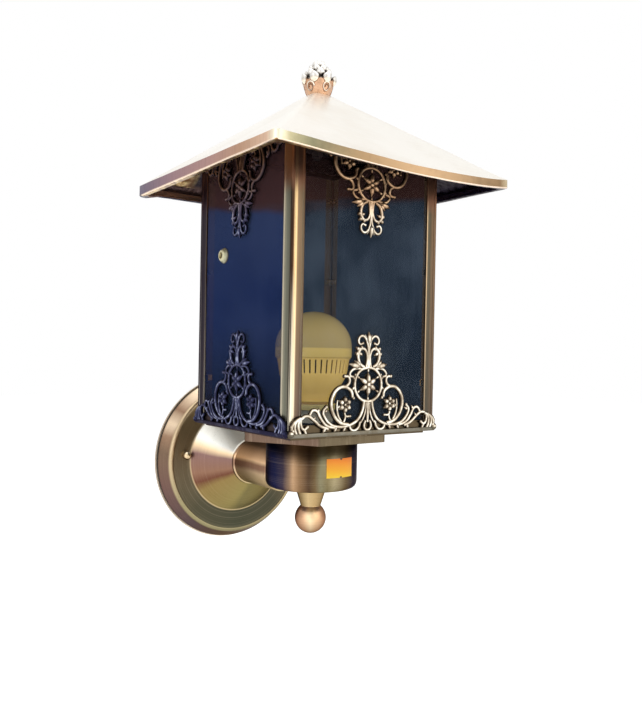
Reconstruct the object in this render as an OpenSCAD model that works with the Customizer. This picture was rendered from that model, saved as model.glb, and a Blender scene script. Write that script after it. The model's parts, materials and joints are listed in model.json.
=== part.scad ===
// Wall lantern: a square glazed body with a hipped roof, held by a round wall canopy.
// The origin is the centre of the wall plate's back face. The wall is the plane Y = 0,
// the lantern hangs towards -Y and +Z is up.

/* [Wall canopy] */
// Radius of the flat plate against the wall
wall_plate_r = 77; // [70:0.5:90]
// Thickness of the wall plate
wall_plate_t = 2; // [1.5:0.1:3]
// Thickness of the foam gasket between plate and canopy
gasket_t = 2.5; // [1:0.1:4]
// How far the gasket and canopy rim stand back from the plate's edge
rim_step = 1; // [0.5:0.1:3]
// Depth of the canopy's flat ring from the wall
canopy_depth = 16; // [13:0.5:22]
// Outer radius of the canopy's flat ring
ring_r = 68; // [63:0.5:70]
// Length of the cone
cone_len = 27; // [20:0.5:36]
// Sheet thickness of the canopy
canopy_t = 1; // [0.8:0.1:1.5]
// Distance between the two studs that hold the canopy
stud_pcd = 108; // [94:0.5:114]
// Distance from each stud's axis in to the foot of the cone
cone_clear = 5; // [4:0.5:12]
// Radius of the canopy studs
stud_r = 2; // [1.5:0.25:2.25]
// How far the stud line is turned from level
stud_turn = 6; // [0:1:20]
// Radius of the round cap nuts
cap_nut_r = 3.9; // [3.4:0.1:4.5]
// Distance between the two wall screw holes
wall_screw_pcd = 90; // [60:1:100]
// Radius of the wall screw holes
wall_screw_r = 2.5; // [2:0.25:3.5]
// Radius of the hole that the supply cable comes through
cable_hole_r = 10; // [6:0.5:14]
// How far the cable hole lies below the plate's middle
cable_hole_drop = 24; // [20:1:28]

/* [Arm] */
// Distance from the wall to the lantern's own axis
reach = 138; // [132:1:170]
// Radius of the deep cup that reaches from the cone to the drum
cup_r = 19.5; // [16:0.5:24]
// Radius of the rounded front edge of the cup
cup_corner = 3.5; // [2:0.25:5]
// Gap between the cup's front and the drum
cup_gap = 1.5; // [1:0.25:4]
// Outer radius of the short sleeve in that gap
sleeve_r = 8; // [7:0.25:9]
// Outer radius of the threaded nipple and rod
nipple_r = 5; // [4:0.25:5]
// Radius of the bore for the wires
nipple_bore_r = 3.5; // [3.3:0.1:3.6]

/* [Drum] */
// Outer radius of the drum
drum_r = 37.5; // [36:0.5:45]
// Height of the drum
drum_h = 45.5; // [42:0.5:52]
// How far the drum's floor lies below the arm's axis
drum_drop = 8.5; // [8.5:0.25:11]
// Radius of the drum's rounded bottom edge
drum_corner = 4; // [2:0.5:4]
// Sheet thickness of drum and cup
drum_t = 1.2; // [0.8:0.1:1.2]

/* [Price label] */
// Width of the blank price label round the drum
label_w = 26; // [16:1:32]
// Height of the label
label_h = 15; // [10:0.5:20]
// Height of the label's middle above the arm's axis
label_z = 11; // [8:0.5:14]
// Turn of the label's middle from straight ahead
label_turn = 3; // [-20:1:20]

/* [Bottom finial] */
// Radius of the finial where it meets the drum
neck_r = 12.2; // [10:0.2:15]
// Radius of its waist
waist_r = 8.2; // [7.5:0.1:9.5]
// Length of the neck
neck_len = 16; // [14:0.5:22]
// Radius of the ball
ball_r = 12.5; // [11:0.25:16]

/* [Support plate] */
// Distance from the middle of the six-sided plate to its corners
hex_r = 63.5; // [58:0.5:66]
// Height of the plate's turned-down edge
hex_h = 7; // [4:0.25:9]
// Sheet thickness of the plate
hex_t = 1.5; // [1:0.1:2]
// Radius of the plate's corners
hex_corner = 4; // [2:0.5:8]

/* [Body] */
// Width of the body across its posts
body_w = 139; // [132:1:150]
// Height of the body from the tray's ledge to its top
body_h = 224; // [200:1:260]
// Depth of the tray's sunk middle
tray_sink = 2.2; // [1.6:0.1:5]
// Width of the tray's ledge round its sunk middle
tray_ledge = 5.5; // [4:0.5:9.5]
// Sheet thickness of the tray and the top frame
tray_t = 1.2; // [0.8:0.1:2]
// Height of the tray's and top frame's turned edges
tray_rim = 7.5; // [5:0.5:12]
// Width of each post's two flanges
post_w = 11; // [9:0.5:14]
// Sheet thickness of the posts
post_t = 1.4; // [1:0.1:2]
// Width of the bead along each edge of a post
bead_w = 1.6; // [1:0.1:2.2]
// How far the post's flat face lies behind its beads
bead_step = 0.5; // [0.2:0.1:0.7]
// Thickness of the glass
pane_t = 2; // [1.5:0.5:3]
// Width of the flat ledge round the top frame's opening
ledge_w = 14.5; // [13:0.5:18]

// Radius of the round button on the left pane
button_r = 6.2; // [4:0.1:9]
// Height of the button
button_h = 4; // [3:0.1:6]
// Distance of the button from the pane's middle line, towards the wall
button_side = 29; // [-50:1:50]
// Height of the button above the body's floor
button_up = 135; // [20:1:180]

/* [Castings] */
// Thickness of the openwork castings
casting_t = 2.5; // [1.5:0.1:3.5]
// Height of each casting
casting_h = 76.7; // [60:0.5:90]
// How far the upper castings stop below the body's top
casting_gap = 1; // [0.5:0.1:3]

/* [Roof] */
// Width of the square roof
roof_w = 218; // [210:1:250]
// Height of the vertical band round the eaves
eave_h = 7.2; // [5:0.2:12]
// Height from the eaves to where the four slopes would meet
roof_rise = 76.6; // [70:0.5:90]
// Sheet thickness of the roof
roof_t = 1.2; // [0.8:0.1:1.6]
// Radius of the roof's corners seen from above
roof_corner = 5; // [3:0.5:10]
// Half width of the small flat top that the finial stands on
roof_top_r = 9.4; // [9:0.1:12]
// Width of the hem folded in under the eaves
hem_w = 5; // [3:0.5:8]
// How far the front eave bows down in its middle
eave_sag = 3.5; // [0:0.25:4]
// Clearance between the castings' top edge and the roof
roof_gap = 0.7; // [0.5:0.1:3]
// Radius of the stud that holds roof and finial
roof_stud_r = 2.5; // [2:0.25:3]

/* [Roof finial] */
// Height of the finial
finial_h = 30.4; // [26:0.2:36]
// Radius of the finial's foot
finial_foot_r = 8.6; // [7.5:0.1:8.8]
// Radius of the finial at its widest leaves
finial_r = 14; // [12:0.25:18]
// Leaves in each tier of the finial
finial_leaves = 7; // [6:1:9]

/* [Lampholder and bulb] */
// Outer radius of the lampholder
holder_r = 17; // [16:0.25:18]
// Height of the lampholder
holder_h = 47.8; // [46:0.2:52]
// How far the lampholder stands out of the body's floor
holder_out = 19.6; // [16:0.2:22]
// Radius of the bulb's screw cap
cap_r = 13.1; // [12.8:0.1:13.4]
// Radius of the bulb at its widest
bulb_r = 31.5; // [26:0.5:33]
// Height of the bulb's widest line above the lampholder
bulb_rise = 46; // [40:0.5:55]
// Height of the smooth band under the globe
bulb_band = 8; // [5:0.5:10]
// Cooling slots round the bulb
bulb_slots = 40; // [16:1:48]

/* [Hidden] */
$fn = 64;
fit = 0.2;
touch = 0.05;

copper = [0.62, 0.45, 0.32];
pale_brass = [0.72, 0.63, 0.45];
dark_bronze = [0.42, 0.34, 0.25];
cast_silver = [0.80, 0.74, 0.62];
steel = [0.62, 0.63, 0.64];
glass_blue = [0.20, 0.27, 0.42, 0.5];
bulb_cream = [0.85, 0.80, 0.58];
black = [0.08, 0.08, 0.08];

rim_r = wall_plate_r - rim_step;
cone_base_r = stud_pcd / 2 - cone_clear;
rim_depth = wall_plate_t + gasket_t;
gasket_w = 4;
cone_tip_depth = canopy_depth + cone_len;
cone_angle = atan2(cone_len, cone_base_r - cup_r);
shoulder_k = (rim_r - ring_r) / (canopy_depth - rim_depth);
cup_front = reach - drum_r - cup_gap;
cup_len = cup_front - cone_tip_depth;
cap_nut_lift = cap_nut_r * 0.8;
stud_end = canopy_depth + cap_nut_lift + 1;

nut_flat = 12.6;
nut_h = 4;
nut_r = nut_flat / 2 / cos(30);
nipple_hole_r = nipple_r + fit;
nipple_start = cone_tip_depth - canopy_t - nut_h - 2;
drum_in_r = drum_r - drum_t;
drum_in_corner = drum_corner - drum_t;
nut_below_corner = max(nut_flat / 2 - drum_drop + drum_t + drum_in_corner, 0);
nut_corner_r = drum_in_r - drum_in_corner
    + sqrt(max(pow(drum_in_corner, 2) - pow(nut_below_corner, 2), 0));
inner_nut_reach = min(sqrt(pow(drum_in_r, 2) - pow(nut_r, 2)),
    sqrt(pow(nut_corner_r, 2) - pow(nut_r / 2, 2))) - touch;
nipple_end = reach - inner_nut_reach + nut_h + 1;

drum_z0 = -drum_drop;
drum_z1 = drum_z0 + drum_h;
drum_floor = drum_z0 + drum_t;
hex_z1 = drum_z1 + hex_t;
hex_z0 = hex_z1 - hex_h;
label_t = 0.15;

washer_t = 1;
rod_washer_r = 10;
rod_grip = 10;

body_half = body_w / 2;
sink_half = body_half - tray_ledge;
sink_top = hex_z1 + tray_t;
ledge_z = hex_z1 + tray_sink;
floor_top = ledge_z + tray_t;
body_top = ledge_z + body_h;
frame_under = body_top - tray_t;
inner_half = body_half - post_t;
pane_side_gap = 1;
pane_half = inner_half - pane_t - pane_side_gap;
pane_h = frame_under - floor_top - fit;
rim_half = body_half - post_w - touch * 2;

casting_out = body_half + casting_t;
casting_w = body_w - 0.4;
casting_z0 = ledge_z;
casting_z1 = body_top - casting_gap;
pattern_w = 139;
pattern_h = 76.7;
rail_w = 3.2;
casting_ease = 0.02;
wheel_z = 37.3;

roof_half = roof_w / 2;
roof_slope = roof_rise / roof_half;
roof_drop = roof_t * sqrt(1 + roof_slope * roof_slope);
eave_z1 = casting_z1 + roof_gap + roof_drop - (roof_half - casting_out) * roof_slope;
eave_z0 = eave_z1 - eave_h;
roof_top_z = eave_z1 + (roof_half - roof_top_r) * roof_slope;
roof_flat_under = roof_top_z - roof_t;
crease_half = (casting_out + roof_half) / 2 - 10;

bar_t = 2;
bar_w = 14;
bar_half = body_half - post_t - 4;
bar_screw_x = body_half - ledge_w + 5;
roof_nut_r = 4.6;
roof_nut_h = 4;
finial_grip = 9;

holder_top = sink_top + holder_out;
holder_z0 = holder_top - holder_h;
holder_hole_r = holder_r + fit;
rod_top = holder_z0 + 8;
shell_t = 0.5;
socket_r = cap_r + fit + shell_t;
socket_h = 25.5;
socket_floor = holder_top - socket_h;
contact_t = 1.5;
clamp_ring_h = 5;
clamp_ring_w = 7;
shade_ring_h = 4.5;
shade_ring_w = 3.5;
bulb_eq = holder_top + bulb_rise;
bulb_collar = 3.5;

wire_r = 1.1;
wire_x = 1.7;
wire_bend = 7;
block_w = 18;
block_h = 14;
block_d = 9;
block_z = 24;
wire_wall_depth = wall_plate_t + block_d / 2;
wire_drum_depth = reach - 11;

module in_lantern() {
    translate([0, -reach, 0]) children();
}

// Turns a shape that stands on XY so that its Z runs out from the wall
module from_wall(depth) {
    translate([0, -depth, 0]) rotate([90, 0, 0]) children();
}

module tube(outer, inner, h) {
    difference() {
        cylinder(r = outer, h = h);
        translate([0, 0, -1]) cylinder(r = inner, h = h + 2);
    }
}

module hex_nut(corner_r, bore, h) {
    difference() {
        cylinder(r = corner_r, h = h, $fn = 6);
        translate([0, 0, -1]) cylinder(r = bore, h = h + 2);
    }
}

// Half section of a cup with a rounded rim corner, its floor at the top
module cup_section(r, h, corner) {
    square([r - corner, h]);
    square([r, h - corner]);
    translate([r - corner, h - corner]) intersection() {
        circle(corner);
        square(corner + 1);
    }
}

module cup(r, h, corner, wall, hole) {
    rotate_extrude() difference() {
        cup_section(r, h, corner);
        translate([0, -1]) cup_section(r - wall, h - wall + 1, max(corner - wall, 0.5));
        translate([-1, -1]) square([hole + 1, h + 2]);
    }
}

// Wall side
module wall_plate() {
    color(pale_brass) from_wall(0) difference() {
        cylinder(r = wall_plate_r, h = wall_plate_t);
        translate([0, -cable_hole_drop, -1]) cylinder(r = cable_hole_r, h = wall_plate_t + 2);
        for (side = [-1, 1]) {
            rotate([0, 0, -stud_turn]) translate([side * stud_pcd / 2, 0, -1])
                cylinder(r = stud_r, h = wall_plate_t + 2);
            translate([0, side * wall_screw_pcd / 2, -1])
                cylinder(r = wall_screw_r, h = wall_plate_t + 2);
        }
    }
}

module wall_gasket() {
    color(black) from_wall(wall_plate_t) tube(rim_r - 0.5, rim_r - gasket_w, gasket_t);
}

module canopy_studs() {
    color(steel) from_wall(0) rotate([0, 0, -stud_turn]) for (side = [-1, 1])
        translate([side * stud_pcd / 2, 0, 0]) cylinder(r = stud_r, h = stud_end);
}

module canopy() {
    ring_bead = 0.5;
    bead_top = 1.2;
    bead_side = 0.6;
    bead_run = 1.5;
    mitre = canopy_t * tan(cone_angle / 2);
    shoulder_t = canopy_t * sqrt(1 + shoulder_k * shoulder_k);
    color(copper) from_wall(0) difference() {
        rotate_extrude() polygon([
            [rim_r, rim_depth],
            [ring_r + shoulder_k * bead_run, canopy_depth - bead_run],
            [ring_r, canopy_depth + ring_bead],
            [ring_r - bead_top, canopy_depth + ring_bead],
            [ring_r - bead_top - bead_side, canopy_depth],
            [cone_base_r, canopy_depth],
            [cup_r, cone_tip_depth],
            [nipple_hole_r, cone_tip_depth],
            [nipple_hole_r, cone_tip_depth - canopy_t],
            [cup_r - mitre, cone_tip_depth - canopy_t],
            [cone_base_r - mitre, canopy_depth - canopy_t],
            [ring_r - shoulder_t + shoulder_k * canopy_t, canopy_depth - canopy_t],
            [rim_r - shoulder_t, rim_depth]]);
        rotate([0, 0, -stud_turn]) for (side = [-1, 1])
            translate([side * stud_pcd / 2, 0, 0]) cylinder(r = stud_r + fit, h = stud_end + 5);
    }
}

module cap_nuts() {
    color(pale_brass) from_wall(canopy_depth) rotate([0, 0, -stud_turn]) for (side = [-1, 1])
        translate([side * stud_pcd / 2, 0, 0]) difference() {
            union() {
                cylinder(r = cap_nut_r * 0.85, h = cap_nut_lift);
                intersection() {
                    translate([0, 0, cap_nut_lift]) sphere(r = cap_nut_r);
                    cylinder(r = cap_nut_r * 2, h = cap_nut_r * 3);
                }
            }
            translate([0, 0, -1]) cylinder(r = stud_r, h = stud_end - canopy_depth + 1);
        }
}

// Arm
module arm_cup() {
    color(copper) from_wall(cone_tip_depth)
        cup(cup_r, cup_len, cup_corner, drum_t, nipple_hole_r);
}

module arm_nipple() {
    color(steel) from_wall(nipple_start)
        tube(nipple_r, nipple_bore_r, nipple_end - nipple_start);
}

module arm_locknuts() {
    color(steel) {
        from_wall(cone_tip_depth - canopy_t - nut_h) rotate([0, 0, 30])
            hex_nut(nut_r, nipple_r, nut_h);
        from_wall(reach - inner_nut_reach) hex_nut(nut_r, nipple_r, nut_h);
    }
}

module arm_sleeve() {
    color(copper) difference() {
        from_wall(cup_front) tube(sleeve_r, nipple_hole_r, reach - cup_front);
        in_lantern() translate([0, 0, drum_z0 - 20]) cylinder(r = drum_r + touch, h = drum_h + 40);
    }
}

// Drum and what hangs from it
module drum() {
    color(copper) difference() {
        in_lantern() translate([0, 0, drum_z1]) mirror([0, 0, 1])
            cup(drum_r, drum_h, drum_corner, drum_t, nipple_hole_r);
        from_wall(reach - drum_r - 5) cylinder(r = nipple_hole_r, h = 25);
    }
}

module price_label() {
    sweep = label_w / drum_r * 180 / PI;
    color("orange") in_lantern() translate([0, 0, label_z - label_h / 2])
        rotate([0, 0, -90 + label_turn - sweep / 2]) rotate_extrude(angle = sweep)
            translate([drum_r + touch, 0]) square([label_t, label_h]);
}

module bottom_finial() {
    ball_z = drum_z0 - neck_len - sqrt(ball_r * ball_r - waist_r * waist_r);
    color(copper) in_lantern() difference() {
        union() {
            translate([0, 0, drum_z0 - 1.5]) cylinder(r = neck_r, h = 1.5);
            translate([0, 0, drum_z0 - neck_len])
                cylinder(r1 = waist_r, r2 = neck_r - 0.6, h = neck_len - 1.5);
            translate([0, 0, ball_z]) sphere(r = ball_r);
        }
        translate([0, 0, drum_z0 - rod_grip]) cylinder(r = nipple_r, h = rod_grip + 1);
    }
}

module bottom_rod() {
    color(steel) in_lantern() translate([0, 0, drum_z0 - rod_grip])
        tube(nipple_r, nipple_bore_r, rod_top - drum_z0 + rod_grip);
}

module rod_washer() {
    color(steel) in_lantern() translate([0, 0, drum_floor]) tube(rod_washer_r, nipple_r, washer_t);
}

module rod_nut() {
    color(steel) in_lantern() translate([0, 0, drum_floor + washer_t])
        hex_nut(nut_r, nipple_r, nut_h);
}

// Six-sided plate under the body
module hex_outline(r, corner) {
    hull() for (a = [0 : 60 : 300])
        rotate([0, 0, a]) translate([r - corner / cos(30), 0]) circle(corner, $fn = 24);
}

module support_plate() {
    color(copper) in_lantern() difference() {
        translate([0, 0, hex_z0]) linear_extrude(hex_h) hex_outline(hex_r, hex_corner);
        translate([0, 0, hex_z0 - 1]) linear_extrude(hex_h - hex_t + 1)
            hex_outline(hex_r - hex_t / cos(30), max(hex_corner - hex_t, 0.5));
        translate([0, 0, hex_z0 - 1]) cylinder(r = holder_hole_r, h = hex_h + 2);
    }
}

// Body frame
module pan(floor_z, rim_z, hole_half) {
    translate([-body_half, -body_half, floor_z]) difference() {
        cube([body_w, body_w, tray_t]);
        translate([body_half - hole_half, body_half - hole_half, -1])
            cube([2 * hole_half, 2 * hole_half, tray_t + 2]);
    }
    for (a = [0 : 90 : 270]) rotate([0, 0, a])
        translate([-rim_half, -body_half, rim_z]) cube([2 * rim_half, post_t, tray_rim]);
}

module floor_tray() {
    well_half = sink_half - tray_t;
    color(dark_bronze) in_lantern() {
        pan(ledge_z, floor_top, well_half);
        difference() {
            translate([-sink_half, -sink_half, hex_z1])
                cube([2 * sink_half, 2 * sink_half, tray_sink + tray_t]);
            translate([-well_half, -well_half, sink_top])
                cube([2 * well_half, 2 * well_half, tray_sink + tray_t]);
            translate([0, 0, hex_z1 - 1]) cylinder(r = holder_hole_r, h = tray_t + 2);
        }
    }
}

module top_frame() {
    color(dark_bronze) in_lantern() difference() {
        pan(frame_under, frame_under - tray_rim, body_half - ledge_w);
        for (side = [-1, 1]) translate([side * bar_screw_x, 0, frame_under - 1])
            cylinder(r = roof_stud_r, h = tray_t + 2);
    }
}

// Section of a post at the corner where both flanges run towards +X and +Y
module post_section() {
    difference() {
        square(post_w);
        translate([post_t, post_t]) square(post_w);
        translate([bead_w * 2, -1]) square([post_w - bead_w * 3, 1 + bead_step]);
        translate([-1, bead_w * 2]) square([1 + bead_step, post_w - bead_w * 3]);
        translate([-1, -1]) square([1 + bead_step * 1.4, 1 + bead_step * 1.4]);
    }
}

module post(turn) {
    color(copper) in_lantern() rotate([0, 0, turn]) translate([-body_half, -body_half, floor_top])
        linear_extrude(frame_under - floor_top) post_section();
}

module pane(turn) {
    color(glass_blue) in_lantern() rotate([0, 0, turn])
        translate([-pane_half, touch * 2 - inner_half, floor_top])
            cube([2 * pane_half, pane_t, pane_h]);
}

module glass_clips() {
    clip_t = 0.8;
    clip_w = 5;
    clip_arm = 7;
    pane_in = inner_half - touch * 2 - pane_t;
    color(pale_brass) in_lantern() for (turn = [0 : 90 : 270], level = [0.165, 0.565, 0.91])
        rotate([0, 0, turn]) translate([0, 0, floor_top + level * pane_h - clip_w / 2])
            linear_extrude(clip_w) {
                translate([-inner_half, -inner_half]) square(inner_half - pane_half - touch * 2);
                translate([-pane_half - touch * 2, -pane_in]) square([clip_arm, clip_t]);
                translate([-pane_in, -pane_half - touch * 2]) square([clip_t, clip_arm]);
            }
}

module glass_button() {
    color(steel) in_lantern()
        translate([touch * 2 - inner_half, button_side, floor_top + button_up]) rotate([0, -90, 0])
            rotate_extrude() polygon([[0, 0], [button_r, 0], [button_r, 1.2],
                [button_r * 0.82, button_h * 0.9], [button_r * 0.68, button_h],
                [button_r * 0.54, button_h * 0.85], [button_r * 0.36, 1.4], [0, 1.4]]);
}

// Openwork castings. A strand runs smoothly through its points while its width changes.
function spline_point(p, t) = let (n = len(p) - 1, k = min(floor(t), n - 1), u = t - k,
        a = p[max(k - 1, 0)], b = p[k], c = p[k + 1], d = p[min(k + 2, n)])
    (2 * b + (c - a) * u + (2 * a - 5 * b + 4 * c - d) * u * u
        + (3 * b - 3 * c + d - a) * u * u * u) / 2;

function strand_side(c, w0, w1, side) = let (n = len(c) - 1) [
    for (k = [0 : n]) let (i = side > 0 ? k : n - k, run = c[min(i + 1, n)] - c[max(i - 1, 0)],
        w = w0 + (w1 - w0) * i / n)
        c[i] + side * w / 2 / norm(run) * [-run[1], run[0]]];

module strand(points, w0, w1, bud = 0, fine = 1) {
    n = fine * (len(points) - 1);
    c = [for (i = [0 : n]) spline_point(points, i / fine)];
    polygon(concat(strand_side(c, w0, w1, 1), strand_side(c, w0, w1, -1)));
    if (bud > 0) translate(points[len(points) - 1]) circle(bud, $fn = 8);
}

module leaf(from, to, width) {
    run = to - from;
    across = width / 2 / norm(run) * [-run[1], run[0]];
    polygon([from - across * 0.3, from + run * 0.4 - across, from + run * 0.78 - across * 0.7, to,
        from + run * 0.78 + across * 0.7, from + run * 0.4 + across, from + across * 0.3]);
}

module casting_wheel() {
    wheel_r = 13.2;
    difference() {
        circle(wheel_r, $fn = 36);
        circle(wheel_r - 2.1, $fn = 36);
    }
    circle(1.9, $fn = 12);
    for (k = [0 : 5]) rotate(30 + 60 * k) {
        leaf([0.5, 0], [wheel_r - 3.6, 0], 3);
        leaf([wheel_r - 1, 0], [wheel_r - 5.2, 0], 1.6);
    }
}

module casting_flower() {
    circle(1.7, $fn = 12);
    for (k = [0 : 5]) leaf([1.2 * cos(30 + 60 * k), 1.2 * sin(30 + 60 * k)],
        [4.9 * cos(30 + 60 * k), 4.9 * sin(30 + 60 * k)], 2.6);
}

module casting_half() {
    // Plain rail along the edge
    square([pattern_w / 2, rail_w]);
    // Tip, twin curls and the two pierced ovals
    leaf([0, 68.5], [0, pattern_h], 3.6);
    leaf([0.4, 67.5], [3.4, 74.6], 1.8);
    strand([[0.3, 49.5], [0.5, 56], [0.4, 63], [1.4, 68.2], [3.6, 72], [7, 73.2], [9.6, 70.6],
        [8.4, 67.2], [5.6, 67.8]], 1.9, 1.4, 1.2, 2);
    strand([[2.4, 49.6], [1.4, 54.6], [1.7, 60.2], [4.6, 63.8], [8.2, 63.4]], 1.7, 2);
    strand([[8.2, 63.8], [10, 60.4], [9.8, 56], [8.2, 52.6], [4.2, 50.2]], 2.4, 2);
    leaf([6.4, 62.4], [7, 66.8], 2.4);
    leaf([8.6, 62.6], [12.2, 65], 2.6);
    leaf([9.6, 59], [13, 61], 2.6);
    leaf([10, 61], [5.4, 58.8], 2.2);
    leaf([7.4, 50.6], [13.4, 55], 3);
    leaf([7.6, 50.2], [18.2, 52.4], 3.6);
    // Small hooks beside the wheel
    strand([[6.4, 48.6], [11.4, 49.2], [16, 47.4], [17.4, 44.2], [14.4, 42.9]], 1.9, 1.5, 1.3);
    leaf([14.2, 43], [12.2, 40.6], 1.8);
    strand([[11.4, 45.4], [13.2, 43.4]], 1.4, 1.4);
    strand([[24.6, 35.6], [20.2, 36.4], [17.6, 39.6], [18.4, 42.8], [22.2, 43.4]], 2, 1.6, 1.5);
    strand([[17.2, 44], [17.8, 41.6]], 1.4, 1.4);
    // Large side scroll with its flower
    strand([[14.9, 28], [15.4, 31.6], [18.6, 34.6], [23.4, 35.8], [28.6, 34.2], [32.4, 30.2],
        [34.2, 24.6], [33, 18.2], [29.6, 12.8], [24.4, 9.2], [18.4, 8]], 2.2, 2.4, 0, 2);
    leaf([14.6, 28.6], [12.6, 26], 2);
    strand([[12.4, 36], [15.6, 33]], 1.5, 1.5);
    translate([21.4, 22.6]) casting_flower();
    strand([[21.4, 20], [20.8, 14.6], [16.4, 14.2]], 1.5, 1.3, 1.2);
    strand([[20.8, 15], [21.6, 11.4], [23.4, 8.8]], 1.4, 1.4);
    strand([[24.6, 10], [27.6, 15], [28.8, 21.4], [28.4, 25.6]], 1.6, 1.2);
    strand([[26.2, 22.6], [28.4, 19.6]], 1.3, 1.3);
    // Fluted fan under the wheel
    strand([[0.3, 25.4], [0.3, 12], [0.3, 9.4]], 1.7, 1.3);
    strand([[1.6, 25.2], [2.2, 17.6], [4.4, 11.8], [6.4, 9.2]], 1.4, 1.2);
    strand([[3.6, 25.4], [5.2, 18], [8.8, 12], [14.2, 8.6], [20.8, 7], [28.2, 6.9], [34.6, 9],
        [39, 13.2], [41, 18.2], [38.4, 21.4]], 2, 1.8, 1.5, 2);
    // Loops along the rail
    strand([[2.4, 9.8], [3.3, 6.4], [1.6, 3.8], [-0.4, 3.4]], 1.7, 1.7);
    strand([[7.2, 9.6], [8.4, 6], [11.8, 3.6], [15.6, 4.6], [17.2, 8.2]], 1.7, 1.7);
    circle_at(6.4, 9.6, 1.3);
    circle_at(2.2, 10, 1.2);
    leaf([20.6, 7.4], [23, 2.4], 1.8);
    leaf([28.6, 7.4], [31.4, 2.4], 1.8);
    leaf([38.6, 7.6], [41.2, 2.4], 2.2);
    // Foliage that steps down to the corner
    strand([[30.6, 6.2], [38.2, 8.2], [43.6, 14], [46.6, 18.6], [50.4, 19.2], [52.6, 16.4]],
        2, 1.8, 1.4);
    leaf([40.4, 17.6], [36.4, 19.4], 1.6);
    strand([[36.4, 5.6], [43.4, 8], [49.4, 12.6], [54.8, 15.4], [59.4, 13.8], [60.2, 9.4],
        [57.4, 6], [54.4, 7.8]], 2, 1.8, 1.5);
    strand([[57.6, 6.4], [55.4, 2.4]], 1.8, 1.8);
    strand([[58.2, 14.6], [61.8, 12], [62.4, 7.2], [60.6, 2.6]], 2.2, 2.2);
    strand([[60.6, 14], [64.6, 11.4], [65.4, 7], [63.8, 2.6]], 2.2, 2.2);
    strand([[63, 12.6], [66.8, 10], [68, 6.4], [66.8, 2.6]], 2.2, 2.2);
    circle_at(67.2, 5.2, 2.2);
}

module circle_at(x, z, r) {
    translate([x, z]) circle(r, $fn = 8);
}

module casting_pattern() {
    scale([casting_w / pattern_w, casting_h / pattern_h])
        for (side = [0, 1]) mirror([side, 0]) casting_half();
    translate([0, casting_h * wheel_z / pattern_h]) scale(casting_h / pattern_h) casting_wheel();
}

module casting(turn, z, flip) {
    color(cast_silver) in_lantern() rotate([0, 0, turn]) translate([0, -body_half, z])
        rotate([90, 0, 0]) mirror([0, flip, 0]) linear_extrude(casting_t)
            offset(delta = casting_ease) casting_pattern();
}

// Roof. Each ring is the roof's outline at one level, from the front left corner round.
corner_steps = 4;
side_steps = 8;
function corner_ring(half, corner) = [
    for (k = [0 : 3], i = [0 : corner_steps + side_steps - 1])
        let (turn = 90 * k, a = 180 + 90 * min(i / corner_steps, 1),
            along = max(i - corner_steps, 0) / side_steps,
            x = (corner - half) + corner * cos(a) + 2 * (half - corner) * along,
            y = (corner - half) + corner * sin(a))
        [x * cos(turn) - y * sin(turn), x * sin(turn) + y * cos(turn)]];

function sag_at(p, half, sag) = p[1] < 0.1 - half ? sag * (1 - pow(p[0] / half, 2)) : 0;

function roof_ring(half, corner, z, sag) = [
    for (p = corner_ring(half, corner)) [p[0], p[1], z - sag_at(p, half, sag)]];

module roof_shell() {
    in_half = roof_half - roof_t;
    in_corner = roof_corner - roof_t;
    top_in = roof_top_r - roof_t;
    n = 4 * (corner_steps + side_steps);
    hem_half = roof_half - hem_w;
    rings = [
        roof_ring(roof_half, roof_corner, eave_z0, eave_sag),
        roof_ring(roof_half, roof_corner, eave_z1, eave_sag),
        roof_ring(crease_half, roof_corner, eave_z1 + (roof_half - crease_half) * roof_slope, 0),
        roof_ring(roof_top_r, roof_corner, roof_top_z, 0),
        roof_ring(top_in, in_corner, roof_flat_under, 0),
        roof_ring(crease_half - roof_t, in_corner,
            eave_z1 + (roof_half - crease_half + roof_t) * roof_slope - roof_drop, 0),
        roof_ring(in_half, in_corner, eave_z1 + roof_t * roof_slope - roof_drop, eave_sag),
        roof_ring(in_half, in_corner, eave_z0 + roof_t, eave_sag),
        roof_ring(hem_half, in_corner, eave_z0 + roof_t, eave_sag),
        roof_ring(hem_half, in_corner, eave_z0, eave_sag)];
    levels = len(rings);
    top_ring = 3;
    wall = [for (k = [0 : levels - 1], i = [0 : n - 1]) let (next = (k + 1) % levels,
        a = k * n + i, b = k * n + (i + 1) % n, c = next * n + (i + 1) % n, d = next * n + i)
        if (k != top_ring) each [[a, c, b], [a, d, c]]];
    top = [for (i = [0 : n - 1])
        [levels * n, top_ring * n + (i + 1) % n, top_ring * n + i]];
    under = [for (i = [0 : n - 1])
        [levels * n + 1, (top_ring + 1) * n + i, (top_ring + 1) * n + (i + 1) % n]];
    polyhedron(points = concat([for (ring = rings) each ring],
        [[0, 0, roof_top_z], [0, 0, roof_flat_under]]),
        faces = concat(wall, top, under), convexity = 6);
}

module roof() {
    color(pale_brass) in_lantern() difference() {
        roof_shell();
        translate([0, 0, roof_flat_under - 5]) cylinder(r = roof_stud_r + fit, h = 20, $fn = 24);
    }
}

module roof_bar() {
    color(steel) in_lantern() difference() {
        translate([-bar_half, -bar_w / 2, body_top]) cube([2 * bar_half, bar_w, bar_t]);
        translate([0, 0, body_top - 1]) cylinder(r = roof_stud_r, h = bar_t + 2);
        for (side = [-1, 1]) translate([side * bar_screw_x, 0, body_top - 1])
            cylinder(r = roof_stud_r, h = bar_t + 2);
    }
}

module roof_bar_screws() {
    color(steel) in_lantern() for (side = [-1, 1]) translate([side * bar_screw_x, 0, 0]) {
        translate([0, 0, frame_under - 2]) cylinder(r = roof_stud_r, h = tray_t + bar_t + 2);
        translate([0, 0, body_top + bar_t]) cylinder(r = roof_stud_r * 1.5, h = 1.8);
    }
}

module roof_stud() {
    color(steel) in_lantern() translate([0, 0, body_top - roof_nut_h - 2])
        cylinder(r = roof_stud_r, h = roof_top_z + finial_grip - body_top + roof_nut_h + 2);
}

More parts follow.
